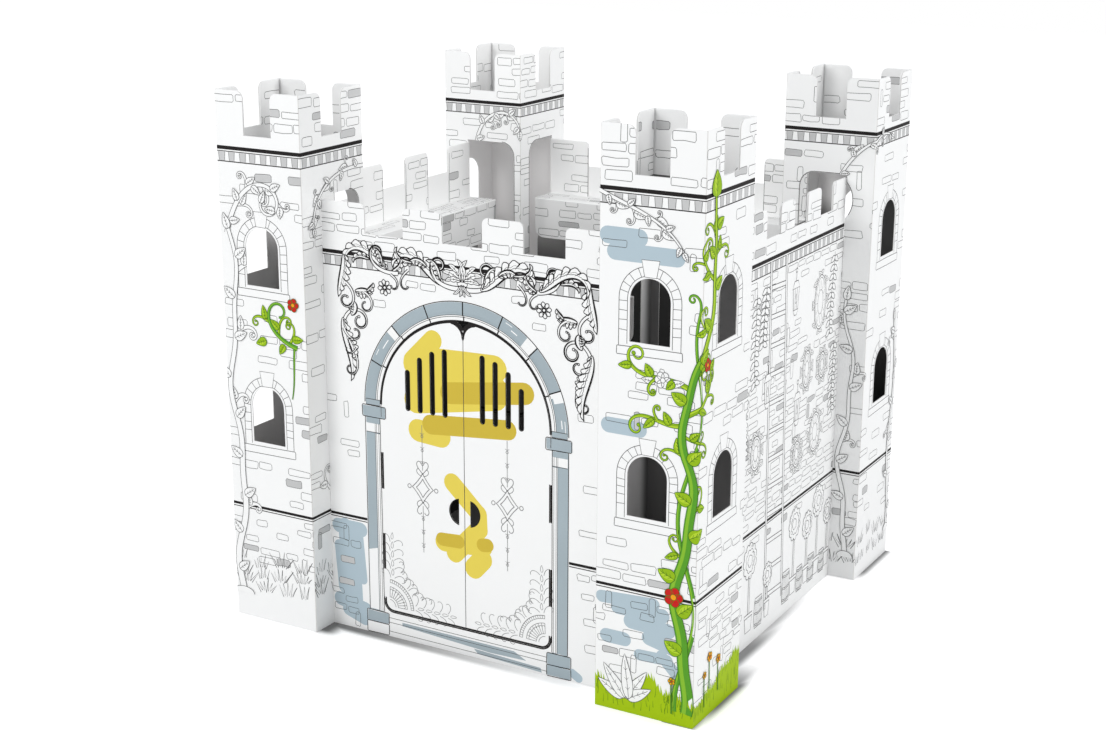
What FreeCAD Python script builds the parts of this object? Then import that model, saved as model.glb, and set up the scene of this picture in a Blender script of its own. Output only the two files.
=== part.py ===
"""Play castle of folded card: four corner towers and four walls with battlements.

Frame: +Z up, origin at the bottom centre, the gate faces -Y. Sizes in millimetres.
Each tower is one card sleeve. Each wall is one sheet: its battlements fold over to
the inside, run down as flaps, turn inward as a ledge and end in a hanging skirt.
"""
import FreeCAD, Part
import os
import Sketcher

doc = FreeCAD.newDocument("card_castle")
sheet = doc.addObject("Spreadsheet::Sheet", "Sizes")


class Size:
    """A number together with the spreadsheet expression it comes from."""

    def __init__(self, value, text):
        self.value = value
        self.text = text

    def __add__(self, other):
        other = as_size(other)
        return Size(self.value + other.value, f"({self.text} + {other.text})")

    def __sub__(self, other):
        other = as_size(other)
        return Size(self.value - other.value, f"({self.text} - {other.text})")

    def __mul__(self, factor):
        factor = as_size(factor)
        return Size(self.value * factor.value, f"({self.text} * {factor.text})")

    def __truediv__(self, factor):
        factor = as_size(factor)
        return Size(self.value / factor.value, f"({self.text} / {factor.text})")

    def __neg__(self):
        return Size(-self.value, f"(0 - {self.text})")


def as_size(number):
    if isinstance(number, Size):
        return number
    return Size(float(number), f"({number})")


rows = []


def size(name, number):
    """Writes one driving dimension into the sheet and returns it."""
    rows.append(name)
    sheet.set(f"A{len(rows)}", name)
    sheet.set(f"B{len(rows)}", str(number))
    sheet.setAlias(f"B{len(rows)}", name)
    return Size(float(number), f"Sizes.{name}")


# Card and folds
card = size("card_thickness", 2)
fold_gap = size("fold_gap", 0.6)
crease_radius = size("crease_radius", 2.6)
joint_gap = size("joint_gap", 0.3)

# Whole castle
overall_width = size("overall_width", 1140)
overall_depth = size("overall_depth", 1105)
tower_width = size("tower_width", 220)
tower_height = size("tower_height", 1185)
wall_height = size("wall_height", 962)
wall_inset = size("wall_inset", 66)

# Tower battlements, each folded over to the inside
tower_gap_width = size("tower_gap_width", 72)
tower_gap_depth = size("tower_gap_depth", 93)
tower_merlon_radius = size("tower_merlon_radius", 17)
tower_flap_length = size("tower_flap_length", 130)
flap_corner_gap = size("flap_corner_gap", 3)
glue_flap_width = size("glue_flap_width", 26)

# Tower windows
window_width = size("window_width", 86)
window_height = size("window_height", 127)
lower_sill = size("lower_sill", 421)
upper_sill_drop = size("upper_sill_drop", 413)

# Tower doorways, which take the ends of the walls and are set out from their tops
right_doorway_post = size("right_doorway_post", 20)
back_doorway_post = size("back_doorway_post", 43)
doorway_drop = size("doorway_drop", 357)
doorway_headroom = size("doorway_headroom", 5)
doorway_radius = size("doorway_radius", 34)
finger_radius = size("finger_radius", 61)
finger_depth = size("finger_depth", 16)
finger_drop = size("finger_drop", 53)

# Wall battlements, ledge, skirt and lugs, set out from the top of the wall
wall_gap_depth = size("wall_gap_depth", 63)
wall_merlon_radius = size("wall_merlon_radius", 13)
front_gap_width = size("front_gap_width", 96)
left_gap_width = size("left_gap_width", 95)
right_gap_width = size("right_gap_width", 74)
ledge_drop = size("ledge_drop", 140)
ledge_depth = size("ledge_depth", 82)
skirt_length = size("skirt_length", 100)
skirt_radius = size("skirt_radius", 24)
lug_length = size("lug_length", 40)
lug_bottom_drop = size("lug_bottom_drop", 342)
lug_top_drop = size("lug_top_drop", 246)
lug_radius = size("lug_radius", 20)

# Gate
door_radius = size("door_radius", 208.5)
door_spring = size("door_spring", 533)
door_bottom = size("door_bottom", 61)
door_corner_radius = size("door_corner_radius", 22)
cut_width = size("cut_width", 1.6)
arch_cut_end = size("arch_cut_end", 505)
notch_half_width = size("notch_half_width", 24)
notch_depth = size("notch_depth", 27)
upper_hinge_bottom = size("upper_hinge_bottom", 344)
lower_hinge_bottom = size("lower_hinge_bottom", 159)
hinge_slit_length = size("hinge_slit_length", 81)
corner_cut_top = size("corner_cut_top", 88)
bar_width = size("bar_width", 10)
bar_bottom = size("bar_bottom", 530)
bar_offset = size("bar_offset", 46)
bar_spacing = size("bar_spacing", 31)
bar_length_1 = size("bar_length_1", 145)
bar_length_2 = size("bar_length_2", 136)
bar_length_3 = size("bar_length_3", 119)
bar_length_4 = size("bar_length_4", 88)
handle_offset = size("handle_offset", 14)
handle_length = size("handle_length", 57)
handle_depth = size("handle_depth", 23.5)
handle_level = size("handle_level", 325.5)

doc.recompute()


def square_root_of(value, text):
    return Size(value ** 0.5, f"sqrt({text})")


def bind(sketch, kind, point, number):
    """Holds one coordinate of a point at a size from the sheet."""
    geometry, end = point
    index = sketch.addConstraint(Sketcher.Constraint(kind, -1, 1, geometry, end, number.value))
    sketch.setExpression(f"Constraints[{index}]", number.text)


def outline(sketch, start, steps):
    """Draws one closed outline. A step is (x, y), or (x, y, cx, cy, turn) for an arc
    about (cx, cy) whose turn is 1 for anticlockwise and -1 for clockwise."""
    here = start
    tail = None
    first = None
    for step in steps:
        there = (as_size(step[0]), as_size(step[1]))
        a = FreeCAD.Vector(here[0].value, here[1].value, 0)
        b = FreeCAD.Vector(there[0].value, there[1].value, 0)
        if len(step) == 2:
            line = sketch.addGeometry(Part.LineSegment(a, b), False)
            head = (line, 1)
            new_tail = (line, 2)
        else:
            centre = FreeCAD.Vector(as_size(step[2]).value, as_size(step[3]).value, 0)
            if step[4] > 0:
                low, high = a, b
            else:
                low, high = b, a
            circle = Part.Circle(centre, FreeCAD.Vector(0, 0, 1), (a - centre).Length)
            curve = Part.ArcOfCircle(circle, circle.parameter(low), circle.parameter(high))
            arc = sketch.addGeometry(curve, False)
            head = (arc, 1 if step[4] > 0 else 2)
            new_tail = (arc, 2 if step[4] > 0 else 1)
            if abs(b.x - a.x) > abs(b.y - a.y):
                bind(sketch, "DistanceY", (arc, 3), as_size(step[3]))
            else:
                bind(sketch, "DistanceX", (arc, 3), as_size(step[2]))
        if tail is None:
            first = head
        else:
            sketch.addConstraint(Sketcher.Constraint("Coincident", tail[0], tail[1], head[0], head[1]))
        bind(sketch, "DistanceX", new_tail, there[0])
        bind(sketch, "DistanceY", new_tail, there[1])
        tail = new_tail
        here = there
    sketch.addConstraint(Sketcher.Constraint("Coincident", tail[0], tail[1], first[0], first[1]))


def new_sketch(body, name, plane, offset=None):
    """A sketch on one of the body's own origin planes, moved along its normal."""
    sketch = body.newObject("Sketcher::SketchObject", name)
    support = [f for f in body.Origin.OriginFeatures if f.Role == plane][0]
    sketch.AttachmentSupport = [(support, "")]
    sketch.MapMode = "FlatFace"
    if offset is not None:
        sketch.setExpression("AttachmentOffset.Base.z", offset.text)
    return sketch


def pad(body, name, sketch, length, symmetric=False, reverse=False):
    feature = body.newObject("PartDesign::Pad", name)
    feature.Profile = sketch
    feature.SideType = "Symmetric" if symmetric else "One side"
    feature.Reversed = reverse
    feature.setExpression("Length", length.text)
    doc.recompute()
    return feature


def pocket(body, name, sketch, length, symmetric=False, reverse=False):
    """Cuts the sketch out of the body and checks that card was really removed."""
    before = body.Shape.Volume
    feature = body.newObject("PartDesign::Pocket", name)
    feature.Profile = sketch
    feature.SideType = "Symmetric" if symmetric else "One side"
    feature.Reversed = reverse
    feature.setExpression("Length", length.text)
    doc.recompute()
    if not body.Shape.Volume < before - 1:
        raise RuntimeError(f"{name} removes nothing from {body.Label}")
    return feature


def box_outline(sketch, x0, x1, y0, y1):
    outline(sketch, (x0, y0), [(x1, y0), (x1, y1), (x0, y1), (x0, y0)])


def rounded_square(sketch, half, radius):
    """A square about the origin with four rounded corners."""
    flat = half - radius
    outline(sketch, (-flat, -half), [
        (flat, -half),
        (half, -flat, flat, -flat, 1),
        (half, flat),
        (flat, half, flat, flat, 1),
        (-flat, half),
        (-half, flat, -flat, flat, 1),
        (-half, -flat),
        (-flat, -half, -flat, -flat, 1),
    ])


def gap_outline(sketch, middle, width, depth, top, radius):
    """The notch between two merlons, with the merlons' own top corners rounded."""
    bottom = top - depth
    left = middle - width / 2
    right = middle + width / 2
    above = top + radius
    outline(sketch, (left, bottom), [
        (right, bottom),
        (right, top - radius),
        (right + radius, top, right + radius, top - radius, -1),
        (right + radius, above),
        (left - radius, above),
        (left - radius, top),
        (left, top - radius, left - radius, top - radius, -1),
        (left, bottom),
    ])


def window_outline(sketch, middle, sill, width, height):
    """A window with a round arch."""
    half = width / 2
    spring = sill + height - half
    outline(sketch, (middle - half, sill), [
        (middle + half, sill),
        (middle + half, spring),
        (middle - half, spring, middle, spring, 1),
        (middle - half, sill),
    ])


half_tower = tower_width / 2
wall_line = half_tower - card
upper_sill = tower_height - upper_sill_drop
doorway_top = wall_height + doorway_headroom
doorway_bottom = wall_height - doorway_drop
finger_level = wall_height - finger_drop
ledge_level = wall_height - ledge_drop


def doorway_outline(sketch, post, recess):
    """The doorway in a face toward the courtyard, from the wall's outer face to the
    post at the inner edge. With a recess, a finger can reach round the wall's end."""
    outer = wall_inset - half_tower - joint_gap
    inner = half_tower - post
    radius = doorway_radius
    steps = [
        (inner - radius, doorway_bottom),
        (inner, doorway_bottom + radius, inner - radius, doorway_bottom + radius, 1),
        (inner, doorway_top - radius),
        (inner - radius, doorway_top, inner - radius, doorway_top - radius, 1),
        (outer, doorway_top),
    ]
    if recess:
        reach = finger_radius - finger_depth
        half_chord = square_root_of(finger_radius.value ** 2 - reach.value ** 2,
                                    f"{finger_radius.text} ^ 2 - {reach.text} ^ 2")
        steps.append((outer, finger_level + half_chord))
        steps.append((outer, finger_level - half_chord, outer + reach, finger_level, 1))
    steps.append((outer, doorway_bottom))
    outline(sketch, (outer, doorway_bottom), steps)


def make_tower(label, x, y, angle, left_windows):
    """One card sleeve. Before it is turned, its outer faces look to -X and -Y. The list
    holds the sills of the windows pressed out of its left face."""
    body = doc.addObject("PartDesign::Body", label)
    body.Label = label
    sleeve = new_sketch(body, "SleeveOutline", "XY_Plane")
    rounded_square(sleeve, half_tower, crease_radius)
    box_outline(sleeve, -wall_line, wall_line, -wall_line, wall_line)
    pad(body, "Sleeve", sleeve, tower_height)

    # The merlons' tops fold over to the inside and hang down as flaps.
    fold = card + fold_gap
    flap_face = wall_line - fold
    flap_bottom = tower_height - tower_flap_length
    flap_reach = (flap_face - flap_corner_gap) * 2
    for name, plane, side in (("Front", "YZ_Plane", -1), ("Back", "YZ_Plane", 1),
                              ("Left", "XZ_Plane", -1), ("Right", "XZ_Plane", 1)):
        hook = new_sketch(body, name + "FlapProfile", plane)
        outline(hook, (wall_line * side, tower_height), [
            (flap_face * side, tower_height - fold, wall_line * side, tower_height - fold, side),
            (flap_face * side, flap_bottom),
            ((flap_face + card) * side, flap_bottom),
            ((flap_face + card) * side, tower_height - card),
            (wall_line * side, tower_height - card),
            (wall_line * side, tower_height),
        ])
        pad(body, name + "Flap", hook, flap_reach, symmetric=True)

    # The sleeve closes with a glued flap inside the corner next to a doorway.
    glue = new_sketch(body, "GlueFlapOutline", "XY_Plane", joint_gap * 20)
    box_outline(glue, -wall_line, glue_flap_width - wall_line, wall_line - card, wall_line)
    pad(body, "GlueFlap", glue, flap_bottom - joint_gap * 40)

    for name, plane in (("FrontBack", "XZ_Plane"), ("LeftRight", "YZ_Plane")):
        gap = new_sketch(body, name + "GapOutline", plane)
        gap_outline(gap, as_size(0), tower_gap_width, tower_gap_depth, tower_height, tower_merlon_radius)
        pocket(body, name + "Gap", gap, tower_width * 2, symmetric=True)

    face = half_tower + card
    depth = card * 2 + fold_gap / 2
    front = new_sketch(body, "FrontWindowOutline", "XZ_Plane", face)
    left = new_sketch(body, "LeftWindowOutline", "YZ_Plane", -face)
    for sill in (lower_sill, upper_sill):
        window_outline(front, as_size(0), sill, window_width, window_height)
    for sill in left_windows:
        window_outline(left, as_size(0), sill, window_width, window_height)
    pocket(body, "FrontWindows", front, depth)
    pocket(body, "LeftWindows", left, depth, reverse=True)

    right_door = new_sketch(body, "RightDoorwayOutline", "YZ_Plane", face)
    back_door = new_sketch(body, "BackDoorwayOutline", "XZ_Plane", -face)
    doorway_outline(right_door, right_doorway_post, False)
    doorway_outline(back_door, back_doorway_post, True)
    pocket(body, "RightDoorway", right_door, depth)
    pocket(body, "BackDoorway", back_door, depth, reverse=True)

    body.Placement = FreeCAD.Placement(FreeCAD.Vector(0, 0, 0), FreeCAD.Rotation(FreeCAD.Vector(0, 0, 1), angle))
    body.setExpression("Placement.Base.x", x.text)
    body.setExpression("Placement.Base.y", y.text)
    return body


tower_x = overall_width / 2 - half_tower
tower_y = overall_depth / 2 - half_tower
both_sills = (lower_sill, upper_sill)
towers = [
    make_tower("tower_front_left", -tower_x, -tower_y, 0, both_sills),
    make_tower("tower_front_right", tower_x, -tower_y, 90, both_sills),
    make_tower("tower_back_right", tower_x, tower_y, 180, both_sills),
    make_tower("tower_back_left", -tower_x, tower_y, 270, (lower_sill,)),
]


def make_wall(label, x, y, angle, span, gaps, gap_width):
    """One sheet with its outer face at local y = 0, looking to -Y before it is turned."""
    body = doc.addObject("PartDesign::Body", label)
    body.Label = label
    length = span - joint_gap * 2
    double = card * 2 + fold_gap
    roll = double / 2
    bend = crease_radius
    skirt_bottom = ledge_level - skirt_length
    profile = new_sketch(body, "SheetProfile", "YZ_Plane")
    outline(profile, (as_size(0), as_size(0)), [
        (as_size(0), wall_height - roll),
        (double, wall_height - roll, roll, wall_height - roll, -1),
        (double, ledge_level),
        (ledge_depth - bend, ledge_level),
        (ledge_depth, ledge_level - bend, ledge_depth - bend, ledge_level - bend, -1),
        (ledge_depth, skirt_bottom),
        (ledge_depth - card, skirt_bottom),
        (ledge_depth - card, ledge_level - card),
        (card + fold_gap, ledge_level - card),
        (card + fold_gap, wall_height - card),
        (card, wall_height - card),
        (card, as_size(0)),
        (as_size(0), as_size(0)),
    ])
    pad(body, "FoldedSheet", profile, length, symmetric=True)

    # Battlements: the gaps go through the sheet and its folded flap, and between the
    # merlons no flap runs down to the ledge.
    notches = new_sketch(body, "GapOutlines", "XZ_Plane", card)
    strips = new_sketch(body, "FlapGapOutlines", "XZ_Plane", -double - card)
    for number in range(gaps):
        middle = gap_width * (2 * number + 1 - gaps)
        gap_outline(notches, middle, gap_width, wall_gap_depth, wall_height, wall_merlon_radius)
        box_outline(strips, middle - gap_width / 2, middle + gap_width / 2, ledge_level,
                    wall_height - wall_gap_depth + card)
    pocket(body, "Gaps", notches, double + card * 2)
    pocket(body, "FlapGaps", strips, card * 2 + fold_gap / 2, reverse=True)

    # The skirt's lower corners are rounded.
    trims = new_sketch(body, "SkirtCorners", "XZ_Plane", -ledge_depth - card)
    for side in (-1, 1):
        end = (length / 2 + card) * side
        flat = (length / 2) * side
        outline(trims, (flat, skirt_bottom + skirt_radius), [
            (flat - skirt_radius * side, skirt_bottom,
             flat - skirt_radius * side, skirt_bottom + skirt_radius, -side),
            (flat - skirt_radius * side, skirt_bottom - card),
            (end, skirt_bottom - card),
            (end, skirt_bottom + skirt_radius),
            (flat, skirt_bottom + skirt_radius),
        ])
    pocket(body, "SkirtTrims", trims, card * 3, reverse=True)

    # A rounded lug at each end reaches into the tower's doorway.
    lugs = new_sketch(body, "LugOutlines", "XZ_Plane")
    lug_bottom = wall_height - lug_bottom_drop
    lug_top = wall_height - lug_top_drop
    for side in (-1, 1):
        root = (length / 2 - card) * side
        tip = (length / 2 + lug_length) * side
        turn = tip - lug_radius * side
        outline(lugs, (root, lug_bottom), [
            (turn, lug_bottom),
            (tip, lug_bottom + lug_radius, turn, lug_bottom + lug_radius, side),
            (tip, lug_top - lug_radius),
            (turn, lug_top, turn, lug_top - lug_radius, side),
            (root, lug_top),
            (root, lug_bottom),
        ])
    pad(body, "Lugs", lugs, card, reverse=True)

    body.Placement = FreeCAD.Placement(FreeCAD.Vector(0, 0, 0), FreeCAD.Rotation(FreeCAD.Vector(0, 0, 1), angle))
    body.setExpression("Placement.Base.x", x.text)
    body.setExpression("Placement.Base.y", y.text)
    return body


front_span = overall_width - tower_width * 2
side_span = overall_depth - tower_width * 2
wall_x = overall_width / 2 - wall_inset
wall_y = overall_depth / 2 - wall_inset
centre = as_size(0)
front_wall = make_wall("front_wall", centre, -wall_y, 0, front_span, 3, front_gap_width)
back_wall = make_wall("back_wall", centre, wall_y, 180, front_span, 3, front_gap_width)
left_wall = make_wall("left_wall", -wall_x, centre, 270, side_span, 3, left_gap_width)
right_wall = make_wall("right_wall", wall_x, centre, 90, side_span, 4, right_gap_width)


def cut_gate(body):
    """The double door: both leaves stay part of the front sheet and hang on card
    bridges between the slits of the hinge lines."""
    through = card * 3
    half_cut = cut_width / 2
    outer = door_radius + half_cut
    inner = door_radius - half_cut

    arch = new_sketch(body, "ArchCutOutline", "XZ_Plane", card)
    outline(arch, (outer, arch_cut_end), [
        (outer, door_spring),
        (-outer, door_spring, as_size(0), door_spring, 1),
        (-outer, arch_cut_end),
        (-inner, arch_cut_end),
        (-inner, door_spring),
        (inner, door_spring, as_size(0), door_spring, -1),
        (inner, arch_cut_end),
        (outer, arch_cut_end),
    ])
    pocket(body, "ArchCut", arch, through)

    crown = door_spring + door_radius
    shoulder = notch_half_width
    notch = new_sketch(body, "NotchOutline", "XZ_Plane", card)
    outline(notch, (-shoulder, crown), [
        (-half_cut, crown - notch_depth, -shoulder, crown - notch_depth, -1),
        (half_cut, crown - notch_depth),
        (shoulder, crown, shoulder, crown - notch_depth, -1),
        (-shoulder, crown),
    ])
    pocket(body, "Notch", notch, through)

    middle = new_sketch(body, "MiddleCutOutline", "XZ_Plane", card)
    box_outline(middle, -half_cut, half_cut, door_bottom, crown - notch_depth / 2)
    pocket(body, "MiddleCut", middle, through)

    bottom = new_sketch(body, "BottomCutOutline", "XZ_Plane", card)
    turn = door_radius - door_corner_radius
    level = door_bottom + door_corner_radius
    low = door_bottom - half_cut
    high = door_bottom + half_cut
    outline(bottom, (-outer, corner_cut_top), [
        (-outer, level),
        (-turn, low, -turn, level, 1),
        (turn, low),
        (outer, level, turn, level, 1),
        (outer, corner_cut_top),
        (inner, corner_cut_top),
        (inner, level),
        (turn, high, turn, level, -1),
        (-turn, high),
        (-inner, level, -turn, level, -1),
        (-inner, corner_cut_top),
        (-outer, corner_cut_top),
    ])
    pocket(body, "BottomCut", bottom, through)

    slits = new_sketch(body, "HingeSlitOutlines", "XZ_Plane", card)
    for start in (upper_hinge_bottom, lower_hinge_bottom):
        box_outline(slits, inner, outer, start, start + hinge_slit_length)
        box_outline(slits, -outer, -inner, start, start + hinge_slit_length)
    pocket(body, "HingeSlits", slits, through)

    bars = new_sketch(body, "BarOutlines", "XZ_Plane", card)
    radius = bar_width / 2
    for side in (-1, 1):
        for number, length in enumerate((bar_length_1, bar_length_2, bar_length_3, bar_length_4)):
            middle = (bar_offset + bar_spacing * number) * side
            low = bar_bottom + radius
            high = bar_bottom + length - radius
            outline(bars, (middle - radius, low), [
                (middle + radius, low, middle, low, 1),
                (middle + radius, high),
                (middle - radius, high, middle, high, 1),
                (middle - radius, low),
            ])
    pocket(body, "Bars", bars, through)

    handles = new_sketch(body, "HandleOutlines", "XZ_Plane", card)
    half_chord = handle_length / 2
    reach = (half_chord * half_chord - handle_depth * handle_depth) / (handle_depth * 2)
    for side in (-1, 1):
        flat = handle_offset * side
        outline(handles, (flat, handle_level - half_chord), [
            (flat, handle_level + half_chord, flat - reach * side, handle_level, side),
            (flat, handle_level - half_chord),
        ])
    pocket(body, "Handles", handles, through)


cut_gate(front_wall)
doc.recompute()

pieces = towers + [front_wall, right_wall, back_wall, left_wall]
for item in doc.Objects:
    if "Invalid" in item.State or "Error" in item.State:
        raise RuntimeError(f"{item.Label} failed to compute")
for piece in pieces:
    if piece.Shape.isNull() or not piece.Shape.isValid() or len(piece.Shape.Solids) != 1:
        raise RuntimeError(f"{piece.Label} has no single valid solid")

os.makedirs("parts", exist_ok=True)
for piece in pieces:
    piece.Shape.exportStep(f"parts/{piece.Label}.step")
    print(piece.Label, round(piece.Shape.Volume), piece.Shape.BoundBox)
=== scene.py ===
"""Play castle of folded white card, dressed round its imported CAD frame.

Eight card sheets: four tower sleeves and four walls with folded battlements. Their
print is thin ink laid on the card: line art to colour in, and a few marker fields.
"""
import bpy
import math
import random
from mathutils import Matrix, Vector
from mathutils.geometry import delaunay_2d_cdt


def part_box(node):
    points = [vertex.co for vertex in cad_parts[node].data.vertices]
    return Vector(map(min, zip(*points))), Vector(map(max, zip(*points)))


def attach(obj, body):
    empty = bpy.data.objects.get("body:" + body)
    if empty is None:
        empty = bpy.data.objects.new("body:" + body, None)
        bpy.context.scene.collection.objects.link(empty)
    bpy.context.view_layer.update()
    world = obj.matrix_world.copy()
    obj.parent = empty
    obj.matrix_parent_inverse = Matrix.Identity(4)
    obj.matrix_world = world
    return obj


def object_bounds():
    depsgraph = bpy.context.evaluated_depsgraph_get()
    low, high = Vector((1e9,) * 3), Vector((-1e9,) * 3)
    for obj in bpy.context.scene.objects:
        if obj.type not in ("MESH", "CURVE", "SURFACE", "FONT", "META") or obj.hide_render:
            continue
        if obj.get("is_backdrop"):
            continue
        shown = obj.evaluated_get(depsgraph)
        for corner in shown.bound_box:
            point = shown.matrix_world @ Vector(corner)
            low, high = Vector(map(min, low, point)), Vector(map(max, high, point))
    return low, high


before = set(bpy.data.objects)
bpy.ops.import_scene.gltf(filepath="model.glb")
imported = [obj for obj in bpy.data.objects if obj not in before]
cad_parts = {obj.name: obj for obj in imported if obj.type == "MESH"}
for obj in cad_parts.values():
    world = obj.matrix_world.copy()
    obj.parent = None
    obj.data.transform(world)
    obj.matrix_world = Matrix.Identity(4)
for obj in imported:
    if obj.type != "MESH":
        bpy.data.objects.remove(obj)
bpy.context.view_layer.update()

# Studio: a white sweep under an even white sky, one soft lamp in front and one at the
# right. The camera stands at the castle's front right, a little above its towers.
CAMERA_PLACE = Vector((1.9571, -3.5388, 1.6747))
CAMERA_TURN, CAMERA_DIP, CAMERA_ROLL = math.radians(29.7465), math.radians(16.1072), math.radians(0.1962)
ahead = Vector((-math.sin(CAMERA_TURN) * math.cos(CAMERA_DIP),
                math.cos(CAMERA_TURN) * math.cos(CAMERA_DIP),
                -math.sin(CAMERA_DIP)))
level = Vector((math.cos(CAMERA_TURN), math.sin(CAMERA_TURN), 0))
upright = level.cross(ahead)
across = level * math.cos(CAMERA_ROLL) + upright * math.sin(CAMERA_ROLL)
up = upright * math.cos(CAMERA_ROLL) - level * math.sin(CAMERA_ROLL)
camera_data = bpy.data.cameras.new("camera")
camera_data.lens = 59.583
camera_data.sensor_width = 36
camera_data.sensor_fit = "HORIZONTAL"
camera_data.clip_end = 100
camera = bpy.data.objects.new("camera", camera_data)
camera.matrix_world = Matrix.Translation(CAMERA_PLACE) @ Matrix((across, up, -ahead)).transposed().to_4x4()
bpy.context.scene.collection.objects.link(camera)
bpy.context.scene.camera = camera
bpy.context.scene.view_settings.view_transform = "Standard"


def lamp(name, place, target, width, power):
    data = bpy.data.lights.new(name, "AREA")
    data.shape = "DISK"
    data.size = width
    data.energy = power
    item = bpy.data.objects.new(name, data)
    item.location = place
    item.rotation_euler = (Vector(target) - Vector(place)).to_track_quat("-Z", "Y").to_euler()
    bpy.context.scene.collection.objects.link(item)
    return item


lamp("front_lamp", (-3.0, -8.0, 4.6), (-0.2, -0.4, 0.6), 4.4, 230)
lamp("right_lamp", (8.7, 1.8, 4.2), (0.5, 0.0, 0.6), 4.4, 230)
# A weak lamp over the courtyard, itself unseen, fills its far corner.
lamp("courtyard_lamp", (0.05, -0.15, 1.25), (-0.46, 0.44, 0.80), 0.3, 1.1).visible_camera = False


def node_tree(owner):
    """Empties the node tree of a material or a world and hands it out for new nodes."""
    owner.use_nodes = True
    owner.node_tree.nodes.clear()
    return owner.node_tree


def feed(tree, entry, value):
    """Sets a node's input to a value, or links another node's output to it."""
    if isinstance(value, bpy.types.NodeSocket):
        tree.links.new(value, entry)
    else:
        entry.default_value = value


def add(tree, kind, *entries, **labelled):
    """Adds a shader node of a kind, or one that runs a node group. Its inputs are fed in
    order or by label, where an underscore stands for a space."""
    if isinstance(kind, str):
        node = tree.nodes.new("ShaderNode" + kind)
    else:
        node = tree.nodes.new("ShaderNodeGroup")
        node.node_tree = kind
    for index, value in enumerate(entries):
        feed(tree, node.inputs[index], value)
    for label, value in labelled.items():
        feed(tree, node.inputs[label.replace("_", " ")], value)
    return node


def calc(tree, operation, *values):
    """The result of a Math node; each value is a number or another node's socket."""
    node = add(tree, "Math", *values)
    node.operation = operation
    return node.outputs[0]


def product(tree, *factors):
    result = factors[0]
    for factor in factors[1:]:
        result = calc(tree, "MULTIPLY", result, factor)
    return result


def mixed(tree, factor, first, second):
    """Mixes two colours; each is a colour or a socket."""
    node = tree.nodes.new("ShaderNodeMix")
    node.data_type = "RGBA"
    for label, value in (("Factor", factor), ("A", first), ("B", second)):
        feed(tree, node.inputs[label], value)
    return node.outputs["Result"]


def ramp(tree, value, zero_at, one_at):
    """Rises smoothly from 0 to 1 as the value goes from zero_at to one_at."""
    falls = zero_at > one_at
    node = add(tree, "MapRange", Value=value, From_Min=min(zero_at, one_at), From_Max=max(zero_at, one_at),
               To_Min=float(falls), To_Max=float(not falls))
    node.interpolation_type = "SMOOTHSTEP"
    return node.outputs["Result"]


def rises(tree, place, ramps):
    """The product of ramps, each an axis, a start and an end. A bar before the axis's
    letter takes the distance from the middle."""
    factors = []
    for axis, zero_at, one_at in ramps:
        source = place.outputs[axis[-1]]
        if axis.startswith("|"):
            source = calc(tree, "ABSOLUTE", source)
        factors.append(ramp(tree, source, zero_at, one_at))
    return product(tree, *factors)


world = bpy.data.worlds.new("white_sky")
bpy.context.scene.world = world
tree = node_tree(world)
seen = add(tree, "Background", Color=(1, 1, 1, 1), Strength=1.0)
sky = add(tree, "Background", Color=(0.97, 0.985, 1, 1), Strength=0.77)
ray = add(tree, "LightPath")
blend = add(tree, "MixShader", ray.outputs["Is Camera Ray"], sky.outputs[0], seen.outputs[0])
add(tree, "OutputWorld", Surface=blend.outputs[0])

FLOOR_HALF, FLOOR_DROP = 14, 0.0005
floor_mesh = bpy.data.meshes.new("floor")
floor_mesh.from_pydata([(x * FLOOR_HALF, y * FLOOR_HALF, 0) for x, y in ((-1, -1), (1, -1), (1, 1), (-1, 1))],
                       [], [(0, 1, 2, 3)])
floor = bpy.data.objects.new("floor", floor_mesh)
floor.location.z = -FLOOR_DROP
bpy.context.scene.collection.objects.link(floor)
floor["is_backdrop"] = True
white_floor = bpy.data.materials.new("white_floor")
tree = node_tree(white_floor)
# Under the castle the floor is coloured dark grey, as painted shade; round it, it shows
# as white as the sky.
place = add(tree, "SeparateXYZ", add(tree, "TexCoord").outputs["Object"])
covered = product(tree, *(calc(tree, "LESS_THAN", calc(tree, "ABSOLUTE", place.outputs[axis]), half)
                          for axis, half in (("X", 0.503), ("Y", 0.485))))
# Painted shadow: the floor's colour is darkened along the walls' feet, where they stand
# back between the towers, most in the corners beside the front towers, and a little along
# the towers' own right feet. Each painted shadow has a strength and the ramps that bound it.
FRONT_FOOT = [("Y", -0.483, -0.4865), ("X", -0.360, -0.355)]
RIGHT_FOOT = [("X", 0.501, 0.504), ("|Y", 0.556, 0.5525)]
FOOT_SHADES = [
    (0.80, RIGHT_FOOT + [("X", 0.588, 0.562), ("Y", -0.18, -0.33)]),
    (0.82, RIGHT_FOOT + [("X", 0.546, 0.518), ("Y", 0.10, -0.16)]),
    (0.60, RIGHT_FOOT + [("X", 0.534, 0.504), ("Y", 0.28, 0.00)]),
    (0.86, RIGHT_FOOT + [("X", 0.593, 0.571), ("Y", -0.575, -0.43), ("Y", -0.27, -0.33)]),
    (0.82, RIGHT_FOOT + [("X", 0.593, 0.571), ("Y", 0.320, 0.40)]),
    (0.88, FRONT_FOOT + [("Y", -0.526, -0.500), ("X", 0.50, -0.36)]),
    (0.90, FRONT_FOOT + [("Y", -0.562, -0.530), ("X", -0.290, -0.338)]),
]
in_shade = 0.0
for strength, ramps in FOOT_SHADES:
    in_shade = calc(tree, "MAXIMUM", product(tree, rises(tree, place, ramps), strength), in_shade)
# Painted shade: the floor under the castle is coloured dark grey.
tone = mixed(tree, covered, (0.9, 0.9, 0.9, 1), (0.12, 0.117, 0.114, 1))
# Painted shadow: the floor's colour darkens towards near black where the foot shades rise.
paper = add(tree, "BsdfDiffuse", Color=mixed(tree, in_shade, tone, (0.05, 0.05, 0.05, 1)))
GLOW = 0.4
open_floor, unshaded = calc(tree, "SUBTRACT", 1, covered), calc(tree, "SUBTRACT", 1, in_shade)
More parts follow.
